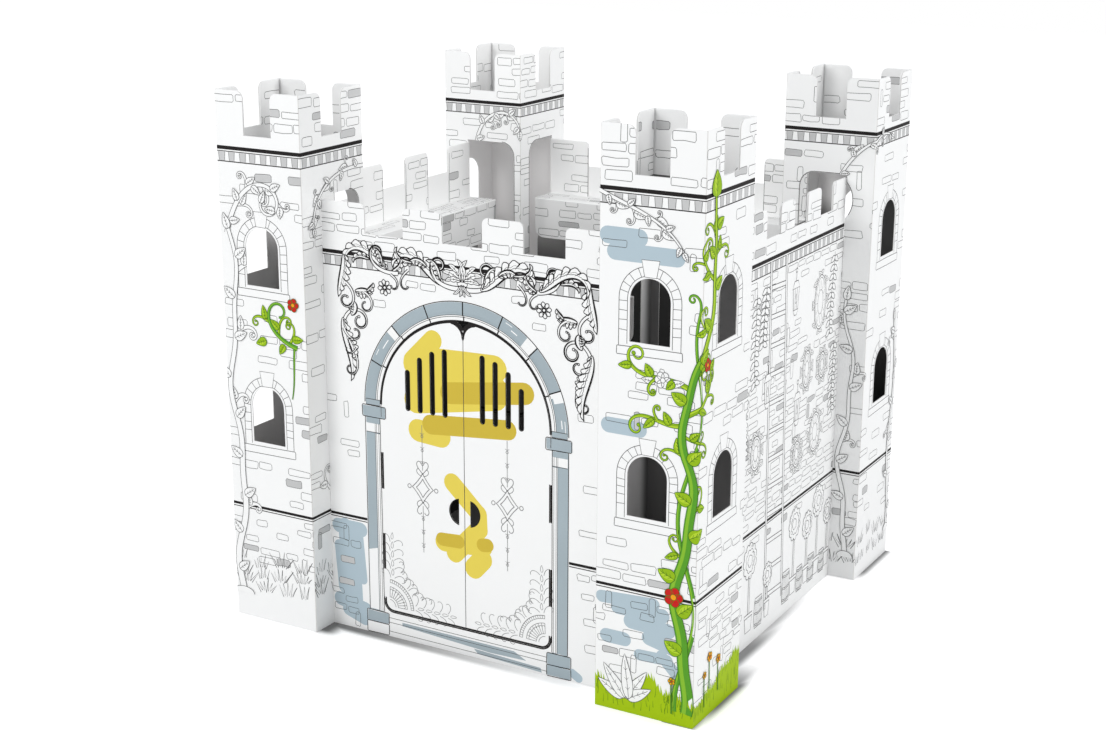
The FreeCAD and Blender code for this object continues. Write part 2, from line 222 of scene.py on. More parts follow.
lit = product(tree, add(tree, "LightPath").outputs["Is Camera Ray"], open_floor, unshaded, GLOW)
glow = add(tree, "Emission", Color=(1, 1, 1, 1), Strength=lit)
both = add(tree, "AddShader", paper.outputs[0], glow.outputs[0])
add(tree, "OutputMaterial", Surface=both.outputs[0])
floor_mesh.materials.append(white_floor)

# Card of all eight sheets: white coated board about 2 mm thick, printed side out. Its
# back is raw board, which shows inside the towers and below the walls' ledges; its tone
# there is painted light and shade, lighter or darker place by place.
MM = 0.001
WHITE_CARD = (0.905, 0.905, 0.9, 1)
# Cut edges show the board's grey core. The black is painted shade, for the gate's slits and the courtyard
# behind its bars.
CUT_EDGE, SHADE_BLACK = (0.72, 0.71, 0.69, 1), (0.014, 0.012, 0.012, 1)


def new_group(name, inputs, outputs):
    """A shader node group with its two end nodes. The socket Colour holds a colour, the
    others hold numbers."""
    group = bpy.data.node_groups.new(name, "ShaderNodeTree")
    for way, labels in (("INPUT", inputs), ("OUTPUT", outputs)):
        for label in labels:
            kind = "NodeSocketColor" if label == "Colour" else "NodeSocketFloat"
            group.interface.new_socket(name=label, in_out=way, socket_type=kind)
    return group, group.nodes.new("NodeGroupInput"), group.nodes.new("NodeGroupOutput")


# The fibres mottle a colour a little and roughen the surface.
fibres, start, end = new_group("card_fibres", ("Colour", "Mottle"), ("Colour", "Height"))
where = add(fibres, "TexCoord").outputs["Object"]
clouds, specks, waves = (
    add(fibres, "TexNoise", Vector=where, Scale=scale, Detail=detail, Roughness=roughness).outputs["Fac"]
    for scale, detail, roughness in ((5.0, 3.0, 0.55), (420.0, 2.0, 0.7), (4.0, 1.0, 0.4)))
blotch = calc(fibres, "ADD", product(fibres, clouds, 0.7), product(fibres, specks, 0.3))
shade = product(fibres, calc(fibres, "SUBTRACT", blotch, 0.5), start.outputs["Mottle"])
darker = add(fibres, "HueSaturation", Color=start.outputs["Colour"], Value=calc(fibres, "ADD", shade, 1.0))
feed(fibres, end.inputs["Colour"], darker.outputs["Color"])
feed(fibres, end.inputs["Height"], calc(fibres, "ADD", product(fibres, specks, 0.03), waves))

# Depth is how far a point lies behind the printed face: cut edges lie within the
# thickness of the card, and the raw back lies behind it and below the folded flaps.
# Share is how far the raw back's painted light and shade has gone from its first tone
# to its second. The last input paints the printed face and the cut edges black, as
# painted shade.
sides, start, end = new_group(
    "card_sides",
    ("Depth", "Level", "Fold Level", "Top Level", "Share", "First Tone", "Second Tone", "Black Shade"),
    ("Colour",))
depth, height = start.outputs["Depth"], start.outputs["Level"]
first_tone, second_tone = start.outputs["First Tone"], start.outputs["Second Tone"]
behind = calc(sides, "GREATER_THAN", depth, 1.8 * MM)
not_behind = calc(sides, "SUBTRACT", 1.0, behind)
not_skirt = calc(sides, "LESS_THAN", depth, 80.5 * MM)
raw = product(sides, behind, not_skirt, calc(sides, "LESS_THAN", height, start.outputs["Fold Level"]))
edge = product(sides, calc(sides, "GREATER_THAN", depth, 0.2 * MM), not_behind,
               calc(sides, "LESS_THAN", height, start.outputs["Top Level"]))
# Painted light and shade: the raw back's tone, going from its first tone to its second as Share rises.
change = product(sides, start.outputs["Share"], calc(sides, "SUBTRACT", second_tone, first_tone))
tone = calc(sides, "ADD", first_tone, change)
shaded_back = add(sides, "CombineColor", tone, product(sides, tone, 0.985), product(sides, tone, 0.98))
face = mixed(sides, edge, WHITE_CARD, CUT_EDGE)
face_or_shaded_back = mixed(sides, raw, face, shaded_back.outputs[0])
# Painted shade: black where its ramps rise, on the printed face and the cut edges.
shaded_black = mixed(sides, product(sides, start.outputs["Black Shade"], not_behind), face_or_shaded_back, SHADE_BLACK)
feed(sides, end.inputs["Colour"], shaded_black)


def coat(tree, colour, mottle, specular):
    """Ends a material's tree: its colour, mottled by the fibres, on a coated surface."""
    pulp = add(tree, fibres, Colour=colour, Mottle=mottle)
    bsdf = add(tree, "BsdfPrincipled", Base_Color=pulp.outputs["Colour"], Roughness=0.55,
               Specular_IOR_Level=specular)
    add(tree, "OutputMaterial", Surface=bsdf.outputs[0])
    return pulp, bsdf


def card_material(name, half_x, half_y, reach, fold, top, back, black_shade):
    """White card whose faces lie at reach from the line |x| = half_x or |y| = half_y.
    Back holds ramps, the raw back's first tone, and its second, which shows where every
    ramp has risen: painted light and shade on the raw back. The last argument is a list of
    ramps too, or empty; where they rise, the face and cut edges are painted black as shade."""
    material = bpy.data.materials.new(name + "_card")
    tree = node_tree(material)
    place = add(tree, "SeparateXYZ", add(tree, "TexCoord").outputs["Object"])
    away = []
    for axis, half in (("X", half_x), ("Y", half_y)):
        off = calc(tree, "SUBTRACT", calc(tree, "ABSOLUTE", place.outputs[axis]), half)
        away.append(calc(tree, "ABSOLUTE", off) if reach else off)
    depth = calc(tree, "SUBTRACT", reach, calc(tree, "MAXIMUM", *away))
    # The raw back's painted light and shade: its ramps and two tones.
    ramps, first_tone, second_tone = back
    board = add(tree, sides, Depth=depth, Level=place.outputs["Z"], Fold_Level=fold, Top_Level=top,
                Share=rises(tree, place, ramps), First_Tone=first_tone, Second_Tone=second_tone)
    # Painted shade: the face and cut edges go black where these ramps rise.
    if black_shade:
        feed(tree, board.inputs["Black Shade"], product(tree, rises(tree, place, black_shade), 0.93))
    pulp, bsdf = coat(tree, board.outputs["Colour"], 0.05, 0.3)
    bump = add(tree, "Bump", Strength=0.25, Distance=2.5 * MM, Height=pulp.outputs["Height"])
    feed(tree, bsdf.inputs["Normal"], bump.outputs["Normal"])
    return material


low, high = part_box("tower_front_right")
TOWER_HALF = (high.x - low.x) / 2
TOWER_TOP = high.z
TOWER_X = (low.x + high.x) / 2
TOWER_Y = (low.y + high.y) / 2
WALL_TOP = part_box("front_wall")[1].z
FRONT_LINE = -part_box("front_wall")[0].y
SIDE_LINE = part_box("right_wall")[1].x
TOWER_FLAP, WALL_FLAP = 130.5 * MM, 141 * MM
GATE_EDGE, GATE_CROWN = 0.2105, 0.745

# The raw backs' tones are painted light and shade. Each tower's hollow is lit through its
# own windows and doorways, so each raw back has painted ramps and tones of its own,
# darker where its hollow lies in shade, and so has the front wall's.
BACK_SHADES = {
    "tower_front_left": ([("Z", 0.52, 0.68), ("Z", 0.86, 0.80)], 0.72, 0.34),
    "tower_front_right": ([("Y", -0.337, -0.375)], 0.17, 0.95),
    "tower_back_right": ([("Z", 0.80, 0.88), ("X", 0.485, 0.45)], 0.07, 0.90),
    "tower_back_left": ([("Z", 0.20, 0.40)], 0.85, 0.95),
    "front_wall": ([("Z", 0.60, 0.80)], 0.80, 0.90),
}
# Painted shade: the other walls' raw backs are near black below their ledges and light grey above.
OTHER_WALLS_BACK_SHADE = ([("Z", 0.60, 0.80)], 0.03, 0.90)
# Painted shade: the gate's cut edges are painted black for the shade in its slits, and so
# are the courtyard sides of the tower behind its bars, low down.
BLACK_SHADE_RAMPS = {
    "front_wall": [("|X", GATE_EDGE + MM, GATE_EDGE), ("Z", GATE_CROWN + MM, GATE_CROWN),
                   ("|Y", FRONT_LINE - 0.1 * MM, FRONT_LINE - 0.35 * MM)],
    "tower_back_left": [("|X", SIDE_LINE, SIDE_LINE - 1.5 * MM), ("|Y", FRONT_LINE, FRONT_LINE - 1.5 * MM),
                        ("Z", 0.60, 0.50)],
}
for name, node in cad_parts.items():
    if name.startswith("tower"):
        shape = TOWER_X, abs(TOWER_Y), TOWER_HALF, TOWER_TOP - TOWER_FLAP, TOWER_TOP - MM
    else:
        shape = SIDE_LINE, FRONT_LINE, 0.0, WALL_TOP - WALL_FLAP, WALL_TOP - 6 * MM
    node.data.materials.clear()
    back = BACK_SHADES.get(name, OTHER_WALLS_BACK_SHADE)
    node.data.materials.append(card_material(name, *shape, back, BLACK_SHADE_RAMPS.get(name, ())))

# Print on the four tower sleeves: thin line art for colouring in, with a cornice, a
# band, window stones and bricks. Ink is printed on the flat sheet before it is folded.


def new_ink(name, colour, mottle):
    """Printed or marker ink whose tone varies a little with the fibres below it."""
    material = bpy.data.materials.new(name)
    coat(node_tree(material), (*colour, 1), mottle, 0.15)
    return material


BLACK = new_ink("black_ink", (0.012, 0.010, 0.010), 0.3)
FINE = new_ink("fine_line_ink", (0.085, 0.085, 0.085), 0.5)
PALE = new_ink("pale_line_ink", (0.21, 0.21, 0.21), 0.5)
TINT = new_ink("grey_tint", (0.56, 0.56, 0.56), 0.5)
PAPER = new_ink("bare_card", WHITE_CARD[:3], 0.05)

# How far each layer of ink stands off the card, in millimetres.
MARKER_LAYER, TINT_LAYER, LINE_LAYER = 0.08, 0.12, 0.16


def inside(ring, u, v):
    """Says whether a point lies in a closed outline."""
    found = False
    last_u, last_v = ring[-1][:2]
    for point in ring:
        next_u, next_v = point[:2]
        if (next_v > v) != (last_v > v) and u < (last_u - next_u) * (v - next_v) / (last_v - next_v) + next_u:
            found = not found
        last_u, last_v = next_u, next_v
    return found


def extent(points):
    us = [point[0] for point in points]
    vs = [point[1] for point in points]
    return min(us), max(us), min(vs), max(vs)


class Side:
    """One flat side of a card sheet. Seen from its front, u runs right from its middle
    and v runs up, both in millimetres. Holes are closed outlines where no card is."""

    def __init__(self, middle, along, up, half, low, high, bend=0.0, holes=()):
        self.middle, self.along, self.up = Vector(middle), Vector(along), Vector(up)
        self.out = self.along.cross(self.up)
        self.half, self.low, self.high, self.bend = half, low, high, bend
        self.holes = [(list(hole), extent(hole)) for hole in holes]
        self.flat = half - bend

    def place(self, u, v, lift):
        """The point in the room, wrapped round the fold at the side's left and right end."""
        depth = lift
        if self.bend and abs(u) > self.flat:
            turn = (abs(u) - self.flat) / self.bend * math.pi / 4
            reach = self.bend + lift
            u = math.copysign(self.flat + reach * math.sin(turn), u)
            depth = reach * math.cos(turn) - self.bend
        return self.middle + (self.along * u + self.up * v + self.out * depth) * MM

    def holds(self, u, v):
        if abs(u) > self.half or not self.low <= v <= self.high:
            return False
        for ring, (u0, u1, v0, v1) in self.holes:
            if u0 < u < u1 and v0 < v < v1 and inside(ring, u, v):
                return False
        return True

    def holds_box(self, box):
        u0, u1, v0, v1 = box
        if u0 < -self.flat or u1 > self.flat or v0 < self.low or v1 > self.high:
            return False
        return not any(u0 < b and u1 > a and v0 < d and v1 > c for _, (a, b, c, d) in self.holes)

    def cut(self, points):
        """Splits a line where it runs off the card, with extra points where the card folds."""
        if self.holds_box(extent(points)):
            return [points]
        dense = [(*points[0], True)]
        for a, b in zip(points, points[1:]):
            steps = max(1, math.ceil(math.dist(a[:2], b[:2]) / 2.0))
            for step in range(1, steps + 1):
                t = step / steps
                dense.append((*(p + (q - p) * t for p, q in zip(a, b)), step == steps))
        runs, run, was = [], [], False
        for number, point in enumerate(dense):
            here = self.holds(*point[:2])
            if number and here != was:
                near, far = dense[number - 1], point
                for _ in range(8):
                    middle = tuple((p + q) / 2 for p, q in zip(near[:3], far[:3]))
                    if self.holds(*middle[:2]) == was:
                        near = middle
                    else:
                        far = middle
                if here:
                    run = [(*far[:3], True)]
                else:
                    run.append((*near[:3], True))
                    runs.append(run)
                    run = []
            if here:
                run.append(point)
            was = here
        if run:
            runs.append(run)
        return [[p[:3] for p in run if p[3] or (self.bend and abs(p[0]) > self.flat - 1)] for run in runs]


class Print:
    """The ink of one design. Its shapes are laid one by one on the side it has at the
    time, each at a lift over the card in millimetres, and made into one mesh."""

    def __init__(self, name, side=None, seed=0):
        self.name, self.side, self.rng = name, side, random.Random(seed)
        self.points, self.faces, self.numbers, self.inks = [], [], [], []

    def add(self, points, faces, ink, lift):
        first = len(self.points)
        self.points.extend(self.side.place(u, v, lift) for u, v in points)
        if ink not in self.inks:
            self.inks.append(ink)
        self.numbers += [self.inks.index(ink)] * len(faces)
        self.faces += [[first + corner for corner in face] for face in faces]

    def stroke(self, path, width, ink, lift=LINE_LAYER, closed=False):
        """Lays a pen line along a path. Width is one number, or one for each point."""
        widths = width if isinstance(width, list) else [width] * len(path)
        points = [(u, v, w) for (u, v), w in zip(path, widths)]
        if closed:
            points.append(points[0])
        for run in self.side.cut(points):
            clean = [run[0]]
            for point in run[1:]:
                if math.dist(point[:2], clean[-1][:2]) > 0.05:
                    clean.append(point)
            count = len(clean)
            if count < 2:
                continue
            loop = closed and math.dist(clean[0][:2], clean[-1][:2]) < 0.06 and count > 3
            corners = []
            for index, (u, v, w) in enumerate(clean):
                before = clean[index - 1] if index else clean[-2 if loop else 0]
                after = clean[index + 1] if index < count - 1 else clean[1 if loop else -1]
                du, dv = after[0] - before[0], after[1] - before[1]
                size = math.hypot(du, dv) or 1.0
                shift_u, shift_v = -dv / size * w / 2, du / size * w / 2
                corners.append((u - shift_u, v - shift_v))
                corners.append((u + shift_u, v + shift_v))
            faces = [(2 * i, 2 * i + 2, 2 * i + 3, 2 * i + 1) for i in range(count - 1)]
            self.add(corners, faces, ink, lift)

    def fill_all(self, rings, ink, lift, covers):
        """Fills the part of some closed outlines where covers(u, v) is true."""
        side, points, edges = self.side, [], []

        def take(line, closed):
            first = len(points)
            points.extend(Vector(point[:2]) for point in line)
            edges.extend((first + i, first + i + 1) for i in range(len(line) - 1))
            if closed:
                edges.append((first + len(line) - 1, first))

        for ring in rings:
            take(ring, True)
        u0, u1, v0, v1 = extent(points)
        for ring, (a, b, c, d) in side.holes:
            if u0 < b and u1 > a and v0 < d and v1 > c:
                take(ring, True)
        folds = [side.half]
        if side.bend:
            folds += [side.flat, side.flat + side.bend / 3, side.flat + side.bend / 1.5]
        for fold in folds:
            for u in (-fold, fold):
                if u0 < u < u1:
                    take([(u, v0 - 1), (u, v1 + 1)], False)
        for v in (side.low, side.high):
            if v0 < v < v1:
                take([(u0 - 1, v), (u1 + 1, v)], False)
        result = delaunay_2d_cdt(points, edges, [], 0, 0.001)
        found, faces = result[0], []
        for face in result[2]:
            u = sum(found[corner].x for corner in face) / 3
            v = sum(found[corner].y for corner in face) / 3
            if side.holds(u, v) and covers(u, v):
                faces.append(face)
        used = sorted({corner for face in faces for corner in face})
        rank = {corner: index for index, corner in enumerate(used)}
        if faces:
            self.add([tuple(found[corner]) for corner in used],
                     [[rank[corner] for corner in face] for face in faces], ink, lift)

    def fill(self, ring, ink, lift):
        self.fill_all([ring], ink, lift, lambda u, v: inside(ring, u, v))

    def shape(self, ring, lift, width, pen, rise=0.03):
        """A closed outline left card-white, with its edge drawn a little higher."""
        self.fill(ring, PAPER, lift)
        self.stroke(ring, width, pen, lift + rise, closed=True)

    def finish(self):
        mesh = bpy.data.meshes.new(self.name)
        mesh.from_pydata(self.points, [], self.faces)
        for material in self.inks:
            mesh.materials.append(material)
        mesh.polygons.foreach_set("material_index", self.numbers)
        piece = bpy.data.objects.new(self.name, mesh)
        bpy.context.scene.collection.objects.link(piece)
        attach(piece, "root")


def about(u, v, reach, angle, tall=1.0):
    """The point at an angle, in degrees from the right, and a reach from (u, v)."""
    turn = math.radians(angle)
    return u + reach * math.cos(turn), v + reach * tall * math.sin(turn)


def arc(u, v, radius, first, last, steps):
    """Points on an arc; angles in degrees from the right, anticlockwise."""
    return [about(u, v, radius, first + (last - first) * i / steps) for i in range(steps + 1)]


def mirror(path, sign):
    return [(u * sign, v) for u, v in path]


def heading_at(path, index):
    (a, b), (c, d) = path[max(index - 1, 0)], path[min(index + 1, len(path) - 1)]
    return math.degrees(math.atan2(d - b, c - a))


def beside(path, offsets):
    """The path moved to its left by an offset, or by one for each point."""
    offsets = offsets if isinstance(offsets, list) else [offsets] * len(path)
    return [about(u, v, offset, heading_at(path, index) + 90)
            for index, ((u, v), offset) in enumerate(zip(path, offsets))]


def block(rng, u, v, length, height, corner=2.6, shake=0.55):
    """The outline of one hand-drawn brick about (u, v)."""
    a, b = length / 2, height / 2
    corner = min(corner, a * 0.6, b * 0.6)
    ring = [(-a + corner, -b), (0, -b), (a - corner, -b), (a, -b + corner), (a, b - corner), (a - corner, b),
            (0, b), (-a + corner, b), (-a, b - corner), (-a, -b + corner)]
    lean = rng.uniform(-0.012, 0.012)
    return [(u + x + rng.gauss(0, shake), v + y + x * lean + rng.gauss(0, shake)) for x, y in ring]


TINTED_SHARE, STANDING_SHARE = 0.14, 0.07


def brickwork(design, low, high, share, blocked=lambda u, v: False, length=(34, 60), height=(13, 19),
              pitch=25):
    """Scatters bricks in courses, leaving out those of which a point is blocked."""
    rng, half = design.rng, design.side.half
    v = low + pitch * 0.5
    while v < high:
        u = -half + rng.uniform(-20, 25)
        while u < half:
            wide, tall = rng.uniform(*length), rng.uniform(*height)
            keep, tinted, stands = (rng.random() < limit for limit in (share, TINTED_SHARE, STANDING_SHARE))
            lift = rng.uniform(-3, 3)
            if keep:
                if stands:
                    wide, tall = rng.uniform(11, 14), rng.uniform(32, 42)
                middle, level = u + wide / 2, v + lift
                us = [middle + wide * i for i in (-0.5, 0, 0.5)]
                vs = [level + tall * j for j in (-0.5, 0, 0.5)]
                if middle > -half + 4 and not any(blocked(a, b) for a in us for b in vs):
                    ring = block(rng, middle, level, wide, tall)
                    design.stroke(ring, 1.05, FINE, closed=True)
                    if tinted:
                        design.fill(ring, TINT, TINT_LAYER + rng.uniform(-0.02, 0.02))
                u += wide + rng.uniform(3, 7)
            else:
                u += wide * rng.uniform(0.5, 1.1)
        v += pitch * rng.uniform(0.92, 1.08)


def level_lines(design, left, right, lines):
    """Black level lines, each a height and a width."""
    for v, width in lines:
        design.stroke([(left, v), (right, v)], width, BLACK)


def cornice(design, top, cells):
    """The moulding under the battlements: a heavy line, a fine one and a row of dentils."""
    rng, half = design.rng, design.side.half
    level_lines(design, -half, half, ((top - 4, 8), (top - 11.5, 1.8), (top - 33, 2.2)))
    step = 2 * half / cells
    for number in range(cells):
        a = -half + step * (number + 0.18) + rng.uniform(-0.8, 0.8)
        b = a + step * rng.uniform(0.56, 0.64)
        ring = [(a + 1.5, top - 31.5), (b - 1.5, top - 31.5), (b, top - 13), (a, top - 13)]
        design.fill(ring, TINT, TINT_LAYER)
        design.stroke([ring[0], ring[3]], 1.0, FINE)
        design.stroke([ring[1], ring[2]], 1.0, FINE)


def band(design, top, left, right):
    """The double line round the castle at knee height."""
    level_lines(design, left, right, ((top - 3, 6), (top - 10, 2)))


WINDOW_HALF, WINDOW_RISE = 43, 84
LOWER_SILL, UPPER_SILL = 421, 772


def window_ring(sill, grow=0.0):
    half = WINDOW_HALF + grow
    return [(-half, sill - grow), (half, sill - grow)] + arc(0, sill + WINDOW_RISE, half, 0, 180, 14)


def window_stones(design, sill):
    """The stones round a window: jambs, a rough arch with its keystone, and a sill slab."""
    rng, spring = design.rng, sill + WINDOW_RISE
    inner, outer = WINDOW_HALF + 5, WINDOW_HALF + 23
    design.stroke(window_ring(sill, 5)[1:] + [(-inner, sill - 5)], 1.2, FINE)
    design.stroke([(outer, sill - 9)] + arc(0, spring, outer, 0, 180, 22) + [(-outer, sill - 9)], 1.3, FINE)
    for sign in (-1, 1):
        v = sill + 22 + rng.uniform(-3, 3)
        while v < spring + 4:
            tilt = rng.uniform(-1.5, 1.5)
            design.stroke([(inner * sign, v), (outer * sign, v + tilt)], 1.1, FINE)
            v += rng.uniform(15, 21)
        for angle in (12, 30, 48, 66):
            turn = angle + rng.uniform(-2, 2)
            design.stroke(mirror([about(0, spring, r, turn) for r in (inner, outer)], sign), 1.1, FINE)
    low_v, high_v = spring + inner - 3, spring + outer + 12
    crown = [(u + rng.gauss(0, 0.6), v + rng.gauss(0, 0.6))
             for u, v in ((-13, low_v), (13, low_v), (19, high_v), (-19, high_v))]
    design.shape(crown, LINE_LAYER + 0.03, 1.4, FINE)
    design.shape(block(rng, 0, sill - 17, 2 * outer + 8, 17, 1.5, 0.4), LINE_LAYER + 0.03, 1.4, FINE)


GAP_HALF, GAP_DEPTH, MERLON_ROUND = 36, 93, 17
TOP, TOWER_SPAN = TOWER_TOP / MM, TOWER_HALF / MM
DOORWAY_LOW, DOORWAY_HIGH, DOORWAY_ROUND, LUG_HALF = 605, 967, 34, 44.3
# The heights that bricks leave to the band and the cornice.
TOWER_BAND, TOWER_CORNICE = (257, 277), (1030, 1074)
TOWER_BAND_TOP, TOWER_CORNICE_TOP = 271, 1067.5
# A sleeve's corners are this round, in millimetres, and folded battlements this deep.
FOLD_ROUND, FOLD_DEPTH = 2.6, 4.6 * MM


def gap_ring(middle, half, bottom, top, radius):
    """The notch between two merlons, with their rounded top corners."""
    return ([(middle - half, bottom), (middle + half, bottom)]
            + arc(middle + half + radius, top - radius, radius, 180, 90, 5)
            + [(middle + half + radius, top + 9), (middle - half - radius, top + 9)]
            + arc(middle - half - radius, top - radius, radius, 90, 0, 5))


def doorway_ring(post_half, sign):
    """The doorway that takes a wall's end. Its inner corners are rounded."""
    r = DOORWAY_ROUND
    ring = ([(-LUG_HALF, DOORWAY_LOW)] + arc(post_half - r, DOORWAY_LOW + r, r, -90, 0, 6)
            + arc(post_half - r, DOORWAY_HIGH - r, r, 0, 90, 6) + [(-LUG_HALF, DOORWAY_HIGH)])
    return mirror(ring, sign)


GAP = gap_ring(0, GAP_HALF, TOP - GAP_DEPTH, TOP, MERLON_ROUND)
RIGHT_DOORWAY = doorway_ring(90, 1)
# The back doorway has a round recess in its straight edge too.
BACK_DOORWAY = doorway_ring(67, -1) + mirror(arc(-LUG_HALF + 45, 909, 61, 137.5, 222.5, 8), -1)
COMPASS = [Vector((1, 0, 0)), Vector((0, 1, 0)), Vector((-1, 0, 0)), Vector((0, -1, 0))]
UP = Vector((0, 0, 1))
TOWERS = {"tower_front_left": (-1, 1, 0), "tower_front_right": (1, 1, 1),
          "tower_back_right": (1, -1, 2), "tower_back_left": (-1, -1, 3)}
SOUTH, EAST, NORTH, WEST = range(4)
tower_sides = {}
for number, (name, (x_sign, y_sign, turn)) in enumerate(TOWERS.items()):
    design = Print("print_" + name, seed=40 + number)
    centre = Vector((TOWER_X * x_sign, TOWER_Y * y_sign, 0))
    for facing, along in enumerate(COMPASS):
        # A sheet has two sides with windows, 0 and 3, and two with doorways between them.
        kind = (facing - turn) % 4
        windows = kind in (0, 3)
        holes = [GAP]
        if windows:
            # The back left tower has no upper window on one side.
            holes += [window_ring(sill) for sill in (LOWER_SILL, UPPER_SILL)]
            holes = holes[:2] if (name, kind) == ("tower_back_left", 3) else holes
        else:
            holes.append(RIGHT_DOORWAY if kind == 1 else BACK_DOORWAY)
        face = along.cross(UP)
        side = Side(centre + face * TOWER_HALF, along, UP, TOWER_SPAN, 0, TOP, FOLD_ROUND, holes)
        tower_sides[name, facing] = design.side = side

        def blocked(u, v, kind=kind, windows=windows):
            if windows:
                near = abs(u) < 72 and any(sill - 30 < v < sill + 166 for sill in (LOWER_SILL, UPPER_SILL))
            else:
                near = v < 640 and (u > -46 if kind == 1 else u < 46)
            return near or any(low < v < high for low, high in (TOWER_BAND, TOWER_CORNICE))

        cornice(design, TOWER_CORNICE_TOP, 8)
        band(design, TOWER_BAND_TOP, -TOWER_SPAN, TOWER_SPAN)
        if windows:
            window_stones(design, LOWER_SILL)
            window_stones(design, UPPER_SILL)
        else:
            outline = [(u, v) for u, v in holes[1] if abs(v - DOORWAY_LOW) > 1]
            design.stroke(beside(outline[:-1], 1.4 if kind == 2 else -1.4), 1.6, FINE)
        brickwork(design, TOWER_CORNICE[1], 1180, 0.40, blocked, pitch=27)
        brickwork(design, TOWER_BAND[1], TOWER_CORNICE[0], 0.36, blocked)
        foot = 14 if name == "tower_front_right" else 135
        brickwork(design, foot, TOWER_BAND[0], 0.42, blocked, (28, 54), (12, 17), 21)

        # The inside of the battlements is the printed side folded over.
        design.side = Side(centre + face * (TOWER_HALF - FOLD_DEPTH), -along, UP, 102, TOP - 130, TOP - 3,
                           holes=[GAP])
        brickwork(design, TOP - 126, TOP - 8, 0.3, pitch=27)
    design.finish()

# Print on the four walls: each is one sheet whose battlements fold over to the inside,
# run down as flaps, turn in as a ledge and end in a hanging skirt, printed all the way.
# For each: the way it faces, its gaps, a gap's width and the share of bricks drawn.
WALLS = {"front_wall": (SOUTH, 3, 96, 0.22), "right_wall": (EAST, 4, 74, 0.75),
         "back_wall": (NORTH, 3, 96, 0.42), "left_wall": (WEST, 3, 95, 0.42)}
WALL_HIGH = WALL_TOP / MM
WALL_GAP_DEPTH, WALL_GAP_ROUND, LUG_LENGTH, LEDGE_DROP, LEDGE_DEPTH = 63, 13, 40, 140, 82
WALL_BAND, WALL_CORNICE, WALL_BAND_TOP, WALL_CORNICE_TOP = (252, 272), (822, 864), 267, 857
LEDGE = WALL_HIGH - LEDGE_DROP
GATE_RADIUS, GATE_SPRING, GATE_BOTTOM, CUT = 208.5, 533, 61, 0.8
HINGE_LOWS, HINGE_TALL, HANDLE_U, HANDLE_V = (344, 159), 81, 14, 325.5
BAR_LENGTHS, BAR_LOW, FIRST_BAR, BAR_PITCH = (145, 136, 119, 88), 530, 46, 31
# On the right wall: the ladder's top and foot, its rails' places there, and the round
# patches (u, v, reach) that other drawings fill.
LADDER_TOP, LADDER_FOOT, LADDER_LEFT, LADDER_RIGHT = 846, 52, (-80, -51), (1, 45)
RIGHT_WALL_DRAWINGS = ((60, 745, 42), (205, 700, 78), (140, 560, 52), (232, 548, 44), (-150, 690, 44),
                       (285, 700, 40))


def box_ring(u0, u1, v0, v1):
    return [(u0, v0), (u1, v0), (u1, v1), (u0, v1)]


def slot_ring(u, low, high, half=5):
    return arc(u, low + half, half, 180, 360, 6) + arc(u, high - half, half, 0, 180, 6)


def gate_cuts():
    """The cuts of the double door: arch and bottom, middle, hinge slits, bars and handles."""
    outer, inner, round_corner = GATE_RADIUS + CUT, GATE_RADIUS - CUT, 22
    crown = GATE_SPRING + GATE_RADIUS
    turn, level = GATE_RADIUS - round_corner, GATE_BOTTOM + round_corner
    wide, tight = round_corner + CUT, round_corner - CUT
    cuts = [
        [(outer, 505)] + arc(0, GATE_SPRING, outer, 0, 180, 40) + [(-outer, 505), (-inner, 505)]
        + arc(0, GATE_SPRING, inner, 180, 0, 40) + [(inner, 505)],
        arc(-24, crown - 27, 27, 90, 0, 6)[:-1]
        + [(-CUT, crown - 27), (-CUT, GATE_BOTTOM), (CUT, GATE_BOTTOM), (CUT, crown - 27)]
        + arc(24, crown - 27, 27, 180, 90, 6)[1:],
        [(-outer, 88)] + arc(-turn, level, wide, 180, 270, 6) + arc(turn, level, wide, 270, 360, 6)
        + [(outer, 88), (inner, 88)] + arc(turn, level, tight, 360, 270, 6)
        + arc(-turn, level, tight, 270, 180, 6) + [(-inner, 88)],
    ]
    # A handle is an arc over a chord of 57 mm that stands out 23.5 mm.
    rise, chord_half = 23.5, 28.5
    reach = (chord_half ** 2 - rise ** 2) / (2 * rise)
    angle = math.degrees(math.asin(chord_half / (reach + rise)))
    handle = arc(-reach, HANDLE_V, reach + rise, -angle, angle, 14)
    for sign in (-1, 1):
        for low in HINGE_LOWS:
            cuts.append(box_ring(*sorted((outer * sign, inner * sign)), low, low + HINGE_TALL))
        for number, length in enumerate(BAR_LENGTHS):
            cuts.append(slot_ring((FIRST_BAR + BAR_PITCH * number) * sign, BAR_LOW, BAR_LOW + length))
        cuts.append([((HANDLE_U + u) * sign, v) for u, v in handle])
    return cuts


